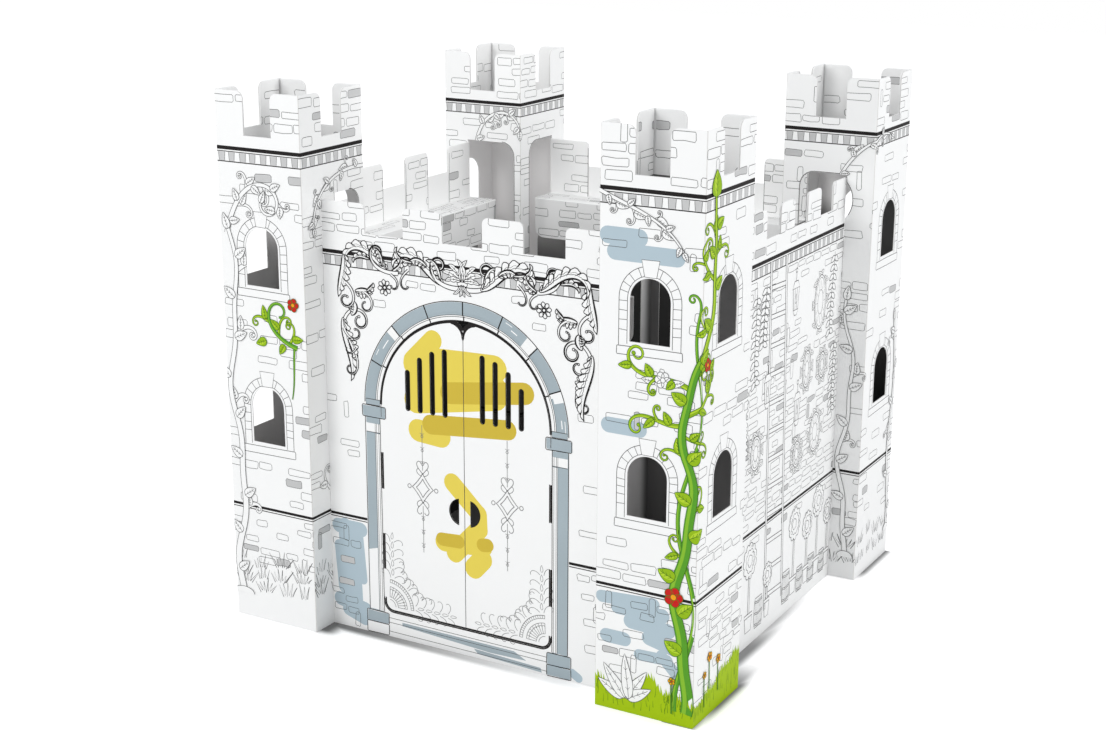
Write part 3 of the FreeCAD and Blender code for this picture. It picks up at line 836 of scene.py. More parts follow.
wall_sides = {}
for number, (name, (facing, gaps, gap_width, share)) in enumerate(WALLS.items()):
    along = COMPASS[facing]
    face = along.cross(UP)
    low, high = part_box(name)
    line = FRONT_LINE if facing in (SOUTH, NORTH) else SIDE_LINE
    half = ((high - low).dot(Vector((abs(along.x), abs(along.y), 0)))) / 2 / MM - LUG_LENGTH
    middles = [gap_width * (2 * i + 1 - gaps) for i in range(gaps)]
    bottom = WALL_HIGH - WALL_GAP_DEPTH
    notches = [gap_ring(middle, gap_width / 2, bottom, WALL_HIGH, WALL_GAP_ROUND) for middle in middles]
    holes = notches + (gate_cuts() if name == "front_wall" else [])
    wall_sides[name] = Side(face * line, along, UP, half, 0, WALL_HIGH, holes=holes)
    design = Print("print_" + name, wall_sides[name], 60 + number)

    def blocked(u, v, name=name):
        if name == "front_wall":
            # Room for the arch, its foot and the frieze.
            if math.hypot(u, max(v - GATE_SPRING, 0)) < 268 or (v < 60 and abs(u) < 275):
                return True
            if 600 < v < 790 and abs(u) > 225 or 765 < v < 812 and 160 < abs(u) < 225:
                return True
        if name == "right_wall":
            # Room for the frames, lanterns and plants drawn round the ladder.
            if any(math.hypot(u - a, v - b) < reach for a, b, reach in RIGHT_WALL_DRAWINGS):
                return True
            if v < 225 and -160 < u:
                return True
        return any(low < v < high for low, high in (WALL_BAND, WALL_CORNICE))

    cornice(design, WALL_CORNICE_TOP, round(half / 13.5))
    # The gate's stonework interrupts the front wall's band.
    for left, right in ((-half, -252), (252, half)) if name == "front_wall" else ((-half, half),):
        band(design, WALL_BAND_TOP, left, right)
    brickwork(design, WALL_CORNICE[1], WALL_HIGH - 4, 0.42, blocked, pitch=26)
    brickwork(design, WALL_BAND[1], WALL_CORNICE[0], share, blocked, (30, 54), (11, 16))
    brickwork(design, 12, WALL_BAND[0], 0.45, blocked, (26, 52), (12, 16), 20)

    # Inside: the flaps behind the merlons, the ledge and the skirt.
    strips = [box_ring(middle - gap_width / 2, middle + gap_width / 2, LEDGE - 1, bottom + 2)
              for middle in middles]
    mirrored = [mirror(ring, -1) for ring in notches + strips]
    flap = face * (line - FOLD_DEPTH)
    design.side = Side(flap, -along, UP, half, LEDGE, WALL_HIGH - 3, holes=mirrored)
    brickwork(design, LEDGE + 4, WALL_HIGH - 6, 0.4)
    for middle in middles:
        for sign in (-1, 1):
            u = -middle + (gap_width / 2 + 1) * sign
            design.stroke([(u, LEDGE + 1), (u, WALL_HIGH - 16)], 1.2, FINE)
    design.side = Side(flap + UP * LEDGE * MM, along, -face, half, 0, LEDGE_DEPTH - 8)
    brickwork(design, 6, 70, 0.45, length=(40, 60), height=(12, 16), pitch=24)
    corner = ([(half + 9, LEDGE - 109), (half + 9, LEDGE - 76)] + arc(half - 24, LEDGE - 76, 24, 0, -90, 5)
              + [(half - 24, LEDGE - 109)])
    design.side = Side(face * (line - LEDGE_DEPTH * MM), -along, UP, half, LEDGE - 100, LEDGE - 3,
                       holes=[mirror(corner, -1), corner])
    brickwork(design, LEDGE - 98, LEDGE - 4, 0.5, pitch=26)
    design.finish()

# The gate's stonework, printed round the double door: a rough arch of eight stones on
# capitals, two pilasters, their bases and a threshold, part filled with blue marker.
STONE_BLUE = new_ink("stone_blue_marker", (0.370, 0.438, 0.475), 0.30)
HIGH_TINT, HIGH_LINE, CAPITAL_LAYER = 0.20, 0.24, 0.30
RING_IN, RING_OUT = 212, 250
gate_side = wall_sides["front_wall"]
stonework = Print("gate_stonework", gate_side, 71)
rng = stonework.rng


def sector(low_r, high_r, first, last, steps=8):
    """A piece of the arch, its angles in degrees from upright."""
    return (arc(0, GATE_SPRING, low_r, 90 - first, 90 - last, steps)
            + arc(0, GATE_SPRING, high_r, 90 - last, 90 - first, steps))


def half_round(radius):
    return arc(0, GATE_SPRING, radius, 0, 180, 72)


joints = [22.5 * number - 90 for number in range(9)]
for first, last in zip(joints, joints[1:]):
    stonework.fill(sector(RING_IN, RING_OUT, first, last), PAPER, TINT_LAYER)
    # Marker fills the stone's outer part in slanted strokes, which leave one end white.
    full = rng.random() < 0.45
    a, b = first + 0.3, last - 0.3
    if not full:
        bare = rng.uniform(4, 11)
        a, b = (a + bare, b) if rng.random() < 0.5 else (a, b - bare)
    stonework.fill(sector(RING_IN + 14, RING_OUT - 1.5, a, b), STONE_BLUE, LINE_LAYER)
    low_first = min(last - 8, max(first, a - 3))
    stonework.fill(sector(RING_IN + 10, RING_IN + 14.2, low_first, b), STONE_BLUE, LINE_LAYER)
    if not full:
        for low_r, reach in ((RING_IN + 22, 2.4), (RING_IN + 30, 1.6)):
            turn = rng.uniform(a + 1, b - 7)
            stonework.fill(sector(low_r, low_r + reach, turn, turn + rng.uniform(3, 6), 3), PAPER, HIGH_TINT)
for joint in joints[1:-1]:
    for low_r, high_r, turn in ((RING_IN + 8, RING_OUT, joint), (RING_IN - 1, RING_IN + 8, joint + 0.7)):
        ends = [about(0, GATE_SPRING, r, 90 - turn) for r in (low_r, high_r)]
        stonework.stroke(ends, 2.8, BLACK, HIGH_LINE)
for radius, width, pen in ((RING_OUT, 1.8, BLACK), (RING_IN + 9.5, 1.2, FINE), (RING_IN + 6, 1.3, FINE)):
    stonework.stroke(half_round(radius), width, pen, HIGH_LINE)
# A heavy black line follows the arch's cut, thickest towards its crown.
thick = [2.2 + 2.8 * math.sin(math.pi * i / 72) ** 3 for i in range(73)]
stonework.stroke(half_round(GATE_RADIUS - 2.0), thick, BLACK, HIGH_LINE)
stonework.stroke(half_round(GATE_RADIUS + 1.4), 1.8, BLACK, HIGH_LINE)
# Black ink widens the notch between the two leaves' rounded top corners.
crown = GATE_SPRING + GATE_RADIUS
notch = ([(0, crown - 42)] + arc(31, crown - 36, 28, 180, 95, 8)
         + arc(0, GATE_SPRING, GATE_RADIUS - 1, 80.5, 99.5, 6) + arc(-31, crown - 36, 28, 85, 0, 8))
stonework.fill(notch, BLACK, HIGH_LINE + 0.04)


def dressed_stone(sign, near_u, far_u, v0, v1, lift, marked=True):
    """A squared stone on one side of the gate, with a drawn edge and often a marker fill."""
    middle = ((near_u + far_u) / 2 * sign, (v0 + v1) / 2)
    wide, tall = far_u - near_u, v1 - v0
    ring = block(rng, *middle, wide, tall, 2.2, 0.3)
    stonework.fill(ring, PAPER, lift)
    if marked:
        stonework.fill(block(rng, *middle, wide - 2, tall - 2, 2, 0.6), STONE_BLUE, lift + 0.04)
    stonework.stroke(ring, 1.7, BLACK, lift + 0.12, closed=True)


for sign in (-1, 1):
    dressed_stone(sign, 212, 250, 54, 501, TINT_LAYER)
    # The inner third of each pilaster stays white, with two fine fluting lines.
    stonework.fill(box_ring(*sorted((209.6 * sign, 224 * sign)), 56, 465), PAPER, HIGH_TINT)
    for u in (216, 221.5, 225):
        stonework.stroke([(u * sign, 54), (u * sign, 488)], 1.1, FINE, HIGH_LINE)
    neck = sorted((213 * sign, 248 * sign))
    stonework.fill(box_ring(*neck, 468, 487), PAPER, HIGH_TINT + 0.02)
    stonework.stroke([(u, 467) for u in neck], 1.4, FINE, HIGH_LINE)
    dressed_stone(sign, 197, 257, 501, 527, CAPITAL_LAYER)
    collar = box_ring(*sorted((211 * sign, 247 * sign)), 528.5, 541)
    stonework.fill(collar, STONE_BLUE, CAPITAL_LAYER)
    stonework.stroke(collar, 1.5, FINE, CAPITAL_LAYER + 0.12, closed=True)
    dressed_stone(sign, 200, 258, 27, 54, CAPITAL_LAYER)
    dressed_stone(sign, 200, 258, 1.5, 27, CAPITAL_LAYER, sign > 0)
# The marker stops short at the foot of the left pilaster.
stonework.fill([(-225, 57), (-225, 203), (-249, 196), (-249, 57)], PAPER, HIGH_TINT + 0.02)
for v in (44, 33, 12):
    stonework.stroke([(-200, v), (200, v - 2)], 1.2, FINE)
for ring in ([(-165, 39), (0, 38), (120, 37), (150, 22), (60, 20), (-20, 24), (-165, 31)],
             [(20, 20), (185, 14), (188, 4), (30, 10)]):
    stonework.fill(ring, STONE_BLUE, TINT_LAYER)
for sign in (-1, 1):
    # Black rims on both sides of a cut make the leaves' foot, hinges, bars and handles
    # read as iron.
    foot = ([(0, GATE_BOTTOM), (186.5, GATE_BOTTOM)] + arc(186.5, GATE_BOTTOM + 22, 22, 270, 360, 8)
            + [(GATE_RADIUS, 92)])
    hinges = [[(GATE_RADIUS, low - 1), (GATE_RADIUS, low + 82)] for low in HINGE_LOWS]
    for path in [foot] + hinges:
        for offset in (-2.3, 2.3):
            stonework.stroke(beside(mirror(path, sign), offset), 2.8, BLACK, HIGH_LINE)
    for number, length in enumerate(BAR_LENGTHS):
        bar = slot_ring((FIRST_BAR + BAR_PITCH * number) * sign, BAR_LOW - 0.6, BAR_LOW + 0.6 + length, 5.6)
        stonework.stroke(bar, 1.4, BLACK, HIGH_LINE + 0.04, closed=True)
    rim = mirror(arc(HANDLE_U - 5.53, HANDLE_V, 29.6, -78, 78, 16), sign)
    stonework.stroke(rim, 1.6, BLACK, HIGH_LINE + 0.04, closed=True)
stonework.finish()

# Yellow and blue marker on the front: broad strokes with round ends, laid on by hand.
# Where two strokes cross, the ink is darker.
BLUE = new_ink("blue_marker", (0.435, 0.535, 0.595), 0.12)
YELLOW = new_ink("yellow_marker", (0.775, 0.625, 0.095), 0.06)
YELLOW_TWICE = new_ink("yellow_marker_twice", (0.610, 0.455, 0.050), 0.06)


def marker(design, ink, strokes, lift=MARKER_LAYER):
    """Lays marker strokes that run into each other. Each is a width and a path."""
    rings = []
    for width, *path in strokes:
        for (a, b), (c, d) in zip(path, path[1:]):
            turn = math.degrees(math.atan2(d - b, c - a))
            rings.append(arc(c, d, width / 2, turn - 90, turn + 90, 9)
                         + arc(a, b, width / 2, turn + 90, turn + 270, 9))

    def covers(u, v):
        for width, *path in strokes:
            for (a, b), (c, d) in zip(path, path[1:]):
                size = (c - a) ** 2 + (d - b) ** 2
                t = min(1, max(0, ((u - a) * (c - a) + (v - b) * (d - b)) / size))
                if math.hypot(u - a - t * (c - a), v - b - t * (d - b)) < width / 2 - 0.3:
                    return True
        return False

    design.fill_all(rings, ink, lift, covers)


yellow = Print("yellow_marker_strokes", gate_side)
TWICE_LAYER = MARKER_LAYER + 0.02
marker(yellow, YELLOW, [
    (44, (-126, 640), (-74, 692)), (58, (-120, 634), (-60, 648), (76, 652)), (62, (-112, 596), (74, 610)),
    (58, (-119, 556), (76, 592)), (50, (-114, 490), (-58, 486))])
marker(yellow, YELLOW_TWICE, [(47, (-34, 584), (146, 610))], TWICE_LAYER)
marker(yellow, YELLOW_TWICE, [(43, (-82, 508), (106, 526))], TWICE_LAYER)
marker(yellow, YELLOW, [
    (42, (-30, 388), (34, 330), (36, 296), (-26, 230)), (46, (22, 205), (44, 230)),
    (42, (-54, 250), (46, 258))])
marker(yellow, YELLOW_TWICE, [(30, (-58, 256), (-16, 258)), (30, (44, 262), (56, 264))], TWICE_LAYER)
yellow.finish()

blue = Print("blue_marker_strokes", gate_side)
marker(blue, BLUE, [
    (34, (-330, 236), (-270, 236)), (40, (-312, 236), (-300, 60)), (24, (-276, 225), (-268, 120)),
    (34, (-330, 62), (-262, 50)), (30, (-310, 40), (-266, 26))])
marker(blue, BLUE, [
    (24, (-330, 190), (-322, 90)), (42, (-296, 226), (-290, 60)), (20, (-262, 46), (-216, 42))],
    TINT_LAYER - 0.01)
marker(blue, BLUE, [(20, (262, 20), (276, 12))])
blue.side = tower_sides["tower_front_right", SOUTH]
marker(blue, BLUE, [(34, (-92, 974), (-24, 974)), (34, (-76, 944), (54, 944))])
marker(blue, BLUE, [(32, (-86, 600), (-18, 600))])
marker(blue, BLUE, [
    (26, (-96, 240), (20, 246)), (30, (-60, 224), (40, 226)), (32, (-30, 200), (52, 196)),
    (30, (10, 172), (66, 160)), (30, (-84, 158), (-44, 158)), (26, (40, 140), (70, 110)),
    (24, (-10, 132), (52, 134))])
blue.finish()

# The scroll frieze over the gate: a traditional acanthus scroll in black line, mirrored
# about the middle, with a palmette, two rosettes and a drop at each corner.


def walk(u, v, heading, length, first, last, power=1.0, steps=30):
    """Walks a pen line. Its turn, in degrees a millimetre, goes from first to last."""
    path = [(u, v)]
    pace = length / steps
    for step in range(steps):
        t = (step + 0.5) / steps
        heading += (first + (last - first) * t ** power) * pace
        u, v = about(u, v, pace, heading)
        path.append((u, v))
    return path


def taper(path, root, tip):
    return [root + (tip - root) * i / (len(path) - 1) for i in range(len(path))]


def swell(path, width, ends):
    last = len(path) - 1
    return [width * (ends + (1 - ends) * math.sin(math.pi * i / last)) for i in range(last + 1)]


def leaf_ring(spine, width, fullest=0.4, lobes=0):
    """The outline of a leaf about its spine, widest at a fraction of its length."""
    last = len(spine) - 1
    power = math.log(0.5) / math.log(fullest)
    halves = []
    for index in range(last + 1):
        t = index / last
        half = width / 2 * math.sin(math.pi * t ** power) ** 0.8 if 0 < index < last else 0.0
        if lobes:
            half *= 0.62 + 0.38 * abs(math.sin(math.pi * lobes * t ** 0.9))
        halves.append(half)
    left = beside(spine, halves)
    right = beside(spine, [-half for half in halves])
    return left + right[-2:0:-1]


def acanthus(design, spine, width, lift, pen, line, lobes):
    """A lobed leaf: card-white inside, drawn edge, midrib and a few shading lines."""
    design.shape(leaf_ring(spine, width, 0.42, lobes), lift, line, pen, 0.02)
    design.stroke(spine[:-3], taper(spine[:-3], line * 1.2, line * 0.5), pen, lift + 0.02)
    for index in range(4, len(spine) - 7, 4):
        for turn, reach in ((-38, 0.24), (38, 0.30)):
            tip = about(*spine[index], width * reach, heading_at(spine, index) + turn)
            design.stroke([spine[index], tip], [line * 0.9, line * 0.3], pen, lift + 0.02)


def frond(design, path, width, lift, outer, lobes):
    """A long acanthus frond along a curling path: smooth on the inner edge, cut into
    rounded lobes on the outer, with veins that follow it and a curled tip."""
    line, last = 1.7, len(path) - 1
    inner_edge, outer_edge = [], []
    for index in range(last + 1):
        t = index / last
        body = math.sin(math.pi * min(1.0, t * 1.02) ** 0.75) ** 0.7 if 0 < t < 0.98 else 0.0
        scallop = 0.60 + 0.40 * abs(math.sin(math.pi * lobes * t))
        inner_edge.append(-outer * width * 0.24 * body)
        outer_edge.append(outer * width * 0.76 * body * scallop)
    near, far = beside(path, inner_edge), beside(path, outer_edge)
    design.fill(near + far[-2:0:-1], PAPER, lift)
    design.stroke(near, swell(near, line * 2.3, 0.45), BLACK, lift + 0.02)
    design.stroke(far, line * 1.1, BLACK, lift + 0.02)
    for share, stop in ((0.18, 0.9), (0.45, 0.7)):
        vein = beside(path, [edge * share for edge in outer_edge])[1:int(last * stop)]
        design.stroke(vein, taper(vein, line * 1.1, line * 0.4), BLACK, lift + 0.02)
    # Short shading strokes run in from between the lobes.
    for notch in range(1, lobes):
        index = min(last - 2, round(last * notch / lobes))
        (a, b), (c, d) = far[index], path[max(0, index - 3)]
        widths = [line * 2.2, line * 1.2, 0.4]
        design.stroke([(a, b), ((a + c) / 2, (b + d) / 2), (c, d)], widths, BLACK, lift + 0.02)


def volute(design, path, width, lift):
    """A stalk that winds up into an eye, shaded along the inside of its coil."""
    widths = taper(path, width, width * 0.45)
    design.stroke(path, widths, PAPER, lift)
    for way in (-0.5, 0.5):
        design.stroke(beside(path, [w * way for w in widths]), 1.8, BLACK, lift + 0.02)
    half = len(path) // 2
    way = 1 if heading_at(path, 2) < heading_at(path, half) else -1
    coil = beside(path, [w * 0.22 * way for w in widths])[half - 4:]
    design.stroke(coil, swell(coil, width * 0.42, 0.1), BLACK, lift + 0.02)
    design.shape(arc(*path[-1], width * 0.36, 0, 330, 11), lift + 0.03, 1.8, BLACK, 0.02)


frieze = Print("gate_frieze", gate_side)
FIRST_LAYER, LAYERS, LAYER_STEP = 0.28, 15, 0.045
layer = 0


def next_lift():
    """Each shape of the frieze lies on the one before it."""
    global layer
    layer = (layer + 1) % LAYERS
    return FIRST_LAYER + LAYER_STEP * layer


# Each part of the scroll: its root (u, v), heading, length, first and last turn, power and
# width, then a frond's lobes, below 0 where they grow on its other edge. A volute has 0.
SCROLL = (
    # Along the cornice: two running waves each side of the middle. Each is a stalk that
    # sweeps up and over, a coil that stands in its hollow, and fronds on its back.
    (44, 812, 10, 161.6, 1.47, -2.32, 0.8, 30, 9), (182, 826, 20, 151.4, 1.21, -2.68, 0.8, 26, 9),
    (86, 846, 40, 56, -0.2, -4.4, 1.0, 17, -5), (120, 850, 8, 62, -0.6, 5.2, 1.2, 15, -5),
    (176, 824, 150, 46, 0.4, -3.8, 1.0, 15, 5), (228, 846, 14, 52, 0.2, -4.6, 1.2, 14, 5),
    (0, 810, -8, 168, 0.42, 7.0, 2.2, 10.5, 0), (158, 824, -6, 150, 0.40, 7.6, 2.2, 9.0, 0),
    (176, 820, 205, 52, 1.0, 9.5, 1.5, 5.0, 0), (132, 834, -40, 62, -0.3, -8.5, 1.8, 5.0, 0),
    (52, 822, 70, 60, 0.6, -4.4, 1.2, 17, -5), (196, 834, 78, 50, 0.6, -4.6, 1.2, 14, -5),
    # The corner: a stalk drops beside the gate, coils three times and ends in a hook.
    (296, 850, -100, 96, 0.9, -0.6, 1.0, 27, -7), (292, 790, -150, 112, 1.1, 6.6, 1.6, 6.5, 0),
    (268, 774, 176, 46, -0.6, 1.8, 1.0, 23, 5), (238, 776, 140, 28, 0.4, -3.0, 1.0, 13, 3),
    (244, 774, -160, 84, 1.6, 7.4, 1.6, 5.5, 0), (300, 700, 98, 150, 1.2, 5.6, 1.7, 7.5, 0),
    (272, 750, -110, 34, 1.4, 3.0, 1.0, 26, 5), (302, 712, -84, 142, -0.9, 0.9, 0.8, 29, -9),
    (300, 690, -110, 74, -1.2, -7.6, 1.7, 6.0, 0), (288, 668, -120, 46, -0.4, 3.2, 1.0, 20, -5),
    (270, 634, -110, 78, 0.7, 8.6, 1.9, 5.0, 0), (268, 650, -60, 40, 0.8, 10.0, 1.6, 4.0, 0),
)
for sign in (-1, 1):
    for *line, width, lobes in SCROLL:
        path = mirror(walk(*line, 40), sign)
        if lobes:
            frond(frieze, path, width, next_lift(), sign if lobes > 0 else -sign, abs(lobes))
        else:
            volute(frieze, path, width, next_lift())
    # A rosette of eight petals hangs under the cornice.
    middle = 192 * sign, 790
    frieze.fill(arc(*middle, 6, 0, 340, 17), BLACK, 0.28)
    for petal in range(8):
        turn = petal * 45 + 10
        spine = walk(*about(*middle, 4.5, turn), turn, 13, 0, 0, 1.0, 8)
        frieze.stroke(leaf_ring(spine, 9, 0.62), 1.7, BLACK, 0.3, closed=True)
    frieze.fill(arc(*middle, 2.6, 0, 330, 11), PAPER, 0.33)
# The palmette in the middle, on a knot.
for lean, length, width in ((62, 46, 16), (34, 50, 15), (8, 40, 12), (86, 50, 13)):
    for sign in (-1, 1):
        spine = walk(3, 826, lean, length, 0.3, -2.6 if lean < 80 else 2.0, 1.0, 20)
        acanthus(frieze, mirror(spine, sign), width, next_lift(), BLACK, 1.5, 3)
for sign in (-1, 1):
    for lean, length in ((-70, 30), (-100, 26)):
        spine = walk(2, 818, lean, length, 1.0, 2.4, 1.0, 14)
        acanthus(frieze, mirror(spine, sign), 8, next_lift(), BLACK, 1.4, 2)
for low_v, tall, size in ((811, 5, 12), (820, 6, 15), (829, 5, 11)):
    frieze.shape(block(rng, 0, low_v, size * 1.6, tall * 1.5, 3, 0.2), next_lift(), 1.4, BLACK, 0.02)
frieze.finish()

# Wrought-iron look on the door leaves: a hanging chain with a pointed pendant on each,
# and a quarter fan with scrolled lace in each lower corner, in pale line.
door_print = Print("gate_door_ornaments", gate_side)
FAN_PITCH = 10.75


def pale(path, width, closed=False):
    door_print.stroke(path, width, PALE, 0.20, closed)


for sign in (-1, 1):
    u0, v0 = 105 * sign, 362
    for low_v, high_v in ((216, 322), (402, 503)):
        pale([(u0, low_v), (u0, high_v)], 1.3)
        for v in range(low_v + 14, high_v - 6, 31):
            pale(arc(u0, v, 3.0, 0, 315, 8), 1.1, closed=True)
            pale([(u0 - 5, v + 7), (u0, v + 4.5), (u0 + 5, v + 7)], 1.1)
    for size in (1.0, 0.62):
        star = []
        for step in range(32):
            x, y = about(0, 0, 1, 11.25 * step)
            star.append((u0 + math.copysign(27, x) * abs(x) ** 2.3 * size,
                         v0 + math.copysign(34, y) * abs(y) ** 2.3 * size))
        pale(star, 1.7, closed=True)
    for way in (-1, 1):
        pale(arc(u0 + 34 * way, v0, 4.5, 0, 330, 11), 1.6, closed=True)
        for rise in (-1, 1):
            for curl, width in ((walk(0, 31, 62, 44, -2.4, 15.0, 1.5, 24), 1.6),
                                (walk(2, 27, 8, 27, 1.5, 13.0, 1.4, 18), 1.4)):
                pale([(u0 + u * way, v0 + v * rise) for u, v in curl], width)

    def from_corner(points):
        return [((197 - u) * sign, 72 + v) for u, v in points]

    def spoke(low_r, high_r, turn):
        return from_corner([about(0, 0, r, turn) for r in (low_r, high_r)])

    for radius, width in ((16, 1.2), (22, 1.0), (46, 1.2), (56, 1.0), (63, 1.5)):
        pale(from_corner(arc(0, 0, radius, 2, 88, 18)), width)
    for step in range(9):
        turn = 2 + step * FAN_PITCH
        pale(spoke(22, 46, turn), 1.1)
        pale(spoke(56, 63, turn), 1.0)
        if step < 8:
            middle = turn + FAN_PITCH / 2
            pale(from_corner(arc(*about(0, 0, 38, middle), 3.0, middle - 90, middle + 90, 6)), 1.0)
            pale(spoke(56, 63, middle), 1.0)
    for turned in (lambda path: path, lambda path: [(v, u) for u, v in path]):
        for number in range(5):
            reach, length = 68 + number * 21, 44 - number * 3
            for way in (-1, 1):
                curl = walk(reach, 9 + 5 * way, 28 * way + 20, length, 1.2 * way, 11.5 * way, 1.6, 22)
                pale(from_corner(turned(curl)), 1.15)
            bud = walk(reach + 6, 9, 4, 16, 0, 0, 1.0, 8)
            pale(from_corner(leaf_ring(turned(bud), 6)), 1.0, closed=True)
        for a, b, way in ((50, 46, -1), (66, 38, 1), (84, 30, -1), (40, 62, 1)):
            pale(from_corner(turned(walk(a, b, 50, 40, way, 11 * way, 1.6, 22))), 1.15)
door_print.finish()

# The climbing plant on the front right tower: printed in full colour over its corner,
# from a strip of grass up to the cornice, with coiled shoots, leaves and flowers.
STALK = new_ink("stalk_green", (0.095, 0.330, 0.022), 0.25)
STALK_LIGHT = new_ink("stalk_light_green", (0.235, 0.490, 0.030), 0.2)
SHOOT = new_ink("shoot_lime", (0.255, 0.430, 0.010), 0.2)
LEAF = new_ink("leaf_lime", (0.290, 0.480, 0.008), 0.18)
LEAF_LIGHT = new_ink("leaf_light_lime", (0.445, 0.640, 0.030), 0.12)
LEAF_EDGE = new_ink("leaf_edge", (0.045, 0.150, 0.008), 0.3)
GRASS = new_ink("grass_lime", (0.365, 0.530, 0.003), 0.12)
BLADE = new_ink("grass_blade", (0.110, 0.255, 0.004), 0.3)
RED = new_ink("petal_red", (0.560, 0.012, 0.010), 0.15)
ORANGE = new_ink("petal_orange", (0.860, 0.335, 0.010), 0.15)
# A plant's inks: its stalk and the light on it, its leaves and the light on them, and edges.
COLOURS = STALK, STALK_LIGHT, LEAF, LEAF_LIGHT, LEAF_EDGE
YOUNG = SHOOT, LEAF_LIGHT, LEAF, LEAF_LIGHT, LEAF_EDGE
UNPAINTED = PAPER, None, PAPER, None, FINE
# Heights of a plant's parts over the card, in millimetres: its shoots, their leaves, the
# stems, the stems' leaves and the flowers. Each shape lies a little above the last.
SHOOTS, SHOOT_LEAVES, STEM, STEM_LEAVES, FLOWERS = 0.26, 0.70, 1.12, 1.20, 1.64
shapes_laid = 0


def laid(height):
    global shapes_laid
    shapes_laid = (shapes_laid + 1) % 7
    return height + 0.06 * shapes_laid


def shifted(path, shift):
    return [(u + shift, v) for u, v in path]


class Plant(Print):
    """A print whose shapes run on over several sides, each with a shift from the plant's u."""

    def on(self, name):
        """Goes on to the front and right sides of a tower, which is 220 mm wide."""
        self.sides = [(tower_sides[name, SOUTH], 0.0), (tower_sides[name, EAST], -220.0)]

    def stalk(self, path, root, tip, colours, lift):
        ink, light, _, _, edge = colours
        widths = taper(path, root, tip)
        for self.side, shift in self.sides:
            moved = shifted(path, shift)
            self.stroke(moved, widths, ink, lift)
            if light:
                shine = beside(moved, [w * 0.2 for w in widths])
                self.stroke(shine, [w * 0.34 for w in widths], light, lift + 0.02)
            for way in (-0.5, 0.5):
                self.stroke(beside(moved, [w * way for w in widths]), 1.2, edge, lift + 0.04)

    def leaf(self, u, v, heading, length, width, colours, lift, bend=0.5):
        """A heart-shaped leaf with its midrib and side veins."""
        _, _, ink, shine, edge = colours
        lift = laid(lift)
        spine = walk(u, v, heading, length, bend, -bend, 1.0, 14)
        ring = leaf_ring(spine, width, 0.34)
        for self.side, shift in self.sides:
            moved = shifted(ring, shift)
            left, right, _, _ = extent(moved)
            if right < -self.side.half or left > self.side.half:
                continue
            self.fill(moved, ink, lift)
            if shine:
                bulge = beside(spine, [width * 0.28 * math.sin(math.pi * i / 14) for i in range(15)])
                self.fill(shifted(spine + bulge[-2:0:-1], shift), shine, lift + 0.02)
            self.stroke(moved, 1.25, edge, lift + 0.04, closed=True)
            self.stroke(shifted(spine[:-2], shift), 1.1, edge, lift + 0.04)
            for index in (3, 6, 9):
                for turn in (-42, 42):
                    tip = about(*spine[index], width * 0.27, heading_at(spine, index) + turn)
                    self.stroke(shifted([spine[index], tip], shift), 0.8, edge, lift + 0.04)

    def blossom(self, u, v, radius, petal, heart, lift=FLOWERS, edge=LEAF_EDGE, petals=5, turn=0):
        """An open flower with round petals."""
        for self.side, shift in self.sides:
            if not -self.side.half - radius < u + shift < self.side.half + radius:
                continue
            for number in range(petals):
                centre = about(u + shift, v, radius * 0.56, turn + number * 360 / petals)
                ring = arc(*centre, radius * 0.44, 0, 340, 17)
                self.fill(ring, petal, lift + 0.012 * number)
                self.stroke(ring, 1.2, edge, lift + 0.012 * number + 0.03, closed=True)
            ring = arc(u + shift, v, radius * 0.30, 0, 340, 14)
            self.fill(ring, heart, lift + 0.11)
            self.stroke(ring, 1.1, edge, lift + 0.14, closed=True)

    def shoot(self, u, v, heading, length, first, last, root, colours, leaves, power=2.2):
        """A side shoot that ends in a coil, with a smaller coil and leaves along it."""
        path = walk(u, v, heading, length, first, last, power, 44)
        self.stalk(path, root, root * 0.32, colours, laid(SHOOTS))
        end_u, end_v = path[-1]
        lift = laid(SHOOT_LEAVES)
        for self.side, shift in self.sides:
            if abs(end_u + shift) < self.side.half:
                ring = arc(end_u + shift, end_v, root * 0.36, 0, 330, 11)
                self.fill(ring, colours[0], lift)
                self.stroke(ring, 1.1, colours[-1], lift + 0.03, closed=True)
        way = 1 if last > 0 else -1
        for number in range(leaves):
            index = 7 + number * 9
            side_way = way if number % 2 else -way
            self.leaf(*path[index], heading_at(path, index) + 52 * side_way, self.rng.uniform(24, 32),
                      self.rng.uniform(15, 19), colours, SHOOT_LEAVES, 0.7 * side_way)
        if length > 110:
            turn = heading_at(path, 14) - 40 * way
            small = walk(*path[14], turn, length * 0.34, -0.4 * way, -22 * way, 2.0, 30)
            self.stalk(small, root * 0.55, root * 0.25, colours, laid(SHOOTS))


def grass_strip(design, level):
    """Turf along the foot of a side: a ragged edge of blades and a few drawn blades on it."""
    rng, half = design.rng, design.side.half
    ring = [(-half - 1, -2)]
    u = -half - 1
    while u < half:
        base = level(u)
        tuft = base + rng.uniform(7, 20)
        ring.append((u, base + rng.uniform(-2, 2)))
        ring.append((u + rng.uniform(-1, 3), tuft))
        u += rng.uniform(4.5, 8.5)
    ring += [(half + 1, level(half)), (half + 1, -2)]
    design.fill(ring, GRASS, 0.20)
    for _ in range(int(2 * half / 3.4)):
        u = rng.uniform(-half, half)
        v = rng.uniform(10, max(12, level(u) - 4))
        lean = rng.uniform(-26, 26)
        blade = walk(u, v, 90 + lean, rng.uniform(12, 24), lean * -0.03, lean * -0.12, 1.0, 5)
        design.stroke(blade, taper(blade, 1.5, 0.6), BLADE, 0.24)


